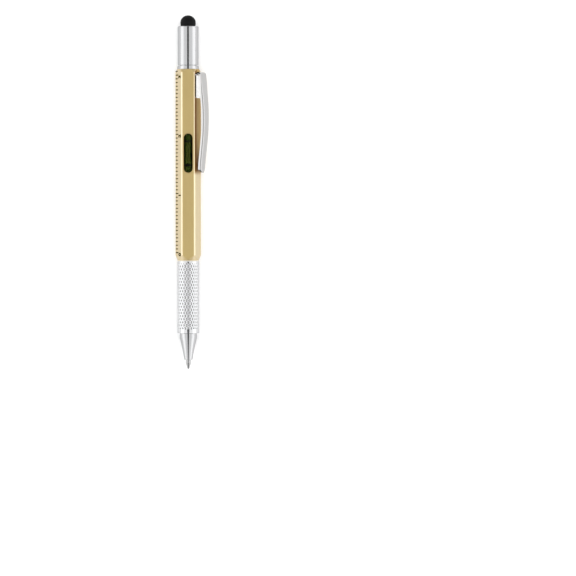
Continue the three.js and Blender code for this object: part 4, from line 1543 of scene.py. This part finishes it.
def refill_point():
    step = span("refill_tube")[0] - contact_gap
    spigot_end = span("refill_tip")[1]
    spigot = refill_radius - refill_wall - seat_clearance
    socket = ball_radius + contact_gap
    end = pen_tip + ball_shown
    lip = math.asin((ball_centre - end) / socket)
    seat = arc(0, ball_centre, socket, -lip, math.pi / 2, short_arc_steps)[:-1]
    point = turned("refill_point", [
        (0, spigot_end), (spigot, spigot_end, point_spigot_round), (spigot, step),
        (refill_radius, step, point_step_round),
        (refill_radius, nose_tip - refill_point_land, point_cone_round),
        (point_end_radius, end, point_end_round), *seat, (0, ball_centre + socket),
    ], small_sides)
    fitted(smooth(point), "refill", "nickel_silver", nickel, "refill_tip")


def writing_ball():
    ball = turned("writing_ball", ball_profile(ball_centre, ball_radius), small_sides)
    fitted(smooth(ball), "refill", "tool_steel", tool_steel, "refill_ball")


for make in (barrel_shell, scales, vial, bubble_and_liquid, vial_bands, bit_holder, bit_magnet,
             cap_seal, driver_bit, screw_cap, stylus_anchor, stylus_dome, clip_arm, clip_plate,
             rivets, knurled_grip, nose_shell, refill_point, writing_ball):
    make()

carried_over(cradle_black, "vial_cradle")
carried_over(acetal, "guide_tube", "guide_end_plug", "thrust_washer")
carried_over(brass, "cam_sleeve", "refill_carrier", "refill_tube")
carried_over(spring_wire, "retaining_ring")
carried_over(seal_rubber, "drag_ring")
carried_over(tool_steel, "carrier_pin")
carried_over(ink_paste, "refill_ink")


# Stage, light and camera. The lengths of the floor and of the lamps are in metres.

floor_reach = 4
lamp_distance = 0.82
lamp_length = 1.3
key_distance = 1.2
key_length = 1
frame_width = 248.3
camera_aside = 42.95
camera_ahead = -41.15


def pale_floor():
    low, high = -floor_reach, floor_reach
    mesh = bpy.data.meshes.new("pale_floor")
    mesh.from_pydata([(low, low, 0), (high, low, 0), (high, high, 0), (low, high, 0)],
                     [], [(0, 1, 2, 3)])
    floor = linked("pale_floor", mesh)
    material, graph = finish("floor_paper")
    shown(graph, base_color=opaque((0.9, 0.9, 0.9)), roughness=0.9, specular_ior_level=0.1,
          emission_color=opaque((1, 1, 1)), emission_strength=0.12)
    mesh.materials.append(material)


def soft_box(name, start, end, distance, length, brightness):
    """A long lamp over the pen, between two angles in degrees from straight up."""
    near = direction(math.radians(start)) * distance
    far = direction(math.radians(end)) * distance
    width = (far - near).length
    lamp = bpy.data.lights.new(name, "AREA")
    lamp.shape = "RECTANGLE"
    lamp.size = width
    lamp.size_y = length
    lamp.energy = brightness * math.pi * width * length
    holder = linked(name, lamp)
    middle = (near + far) / 2
    across = (far - near).normalized()
    along = Vector((0, 1, 0))
    facing = across.cross(along)
    if facing.dot(middle) < 0:
        across = -across
        facing = -facing
    holder.matrix_world = placed(middle, across, along, facing)
    holder.visible_camera = False
    return holder


def studio():
    for side, inner in ((-1, -11.5), (1, 9.5)):
        for name, start, end, brightness in (
                ("side_light", side * 88.5, side * 55, 1.95),
                ("shoulder_light", side * 55, side * 43, 1.5),
                ("top_light", side * 43, inner, 1.13)):
            soft_box(name, start, end, lamp_distance, lamp_length, brightness)
    key = soft_box("key_light", -25, 25, key_distance, key_length, 1.8)
    key.visible_glossy = False
    key.visible_transmission = False
    world = bpy.data.worlds.new("studio")
    bpy.context.scene.world = world
    world.use_nodes = True
    world.node_tree.nodes.clear()
    graph = Graph(world.node_tree)
    sky = graph.add("ShaderNodeBackground", {}, {"Color": opaque((0.2, 0.2, 0.2)), "Strength": 1})
    graph.add("ShaderNodeOutputWorld", {}, {"Surface": sky})
    bpy.context.scene.view_settings.view_transform = "Standard"


def photo_camera():
    """Looks down from over mid pen and aims off it, so that it stands up and left of the frame's
    middle."""
    lens = bpy.data.cameras.new("photo_camera")
    lens.lens = 200
    lens.sensor_width = 36
    lens.clip_start = 0.01
    lens.clip_end = 20
    low, high = cad_corners
    middle = (low.y + high.y) / 2 / MM
    away = frame_width * lens.lens / lens.sensor_width
    height = math.sqrt(away ** 2 - camera_aside ** 2 - camera_ahead ** 2)
    look = Vector((camera_aside, camera_ahead, -height)).normalized()
    across = look.cross(Vector((0, 1, 0))).normalized()
    holder = linked("photo_camera", lens)
    spot = Vector((0, middle, axis_height + height)) * MM
    holder.matrix_world = placed(spot, across, across.cross(look), -look)
    bpy.context.scene.camera = holder


pale_floor()
studio()
photo_camera()
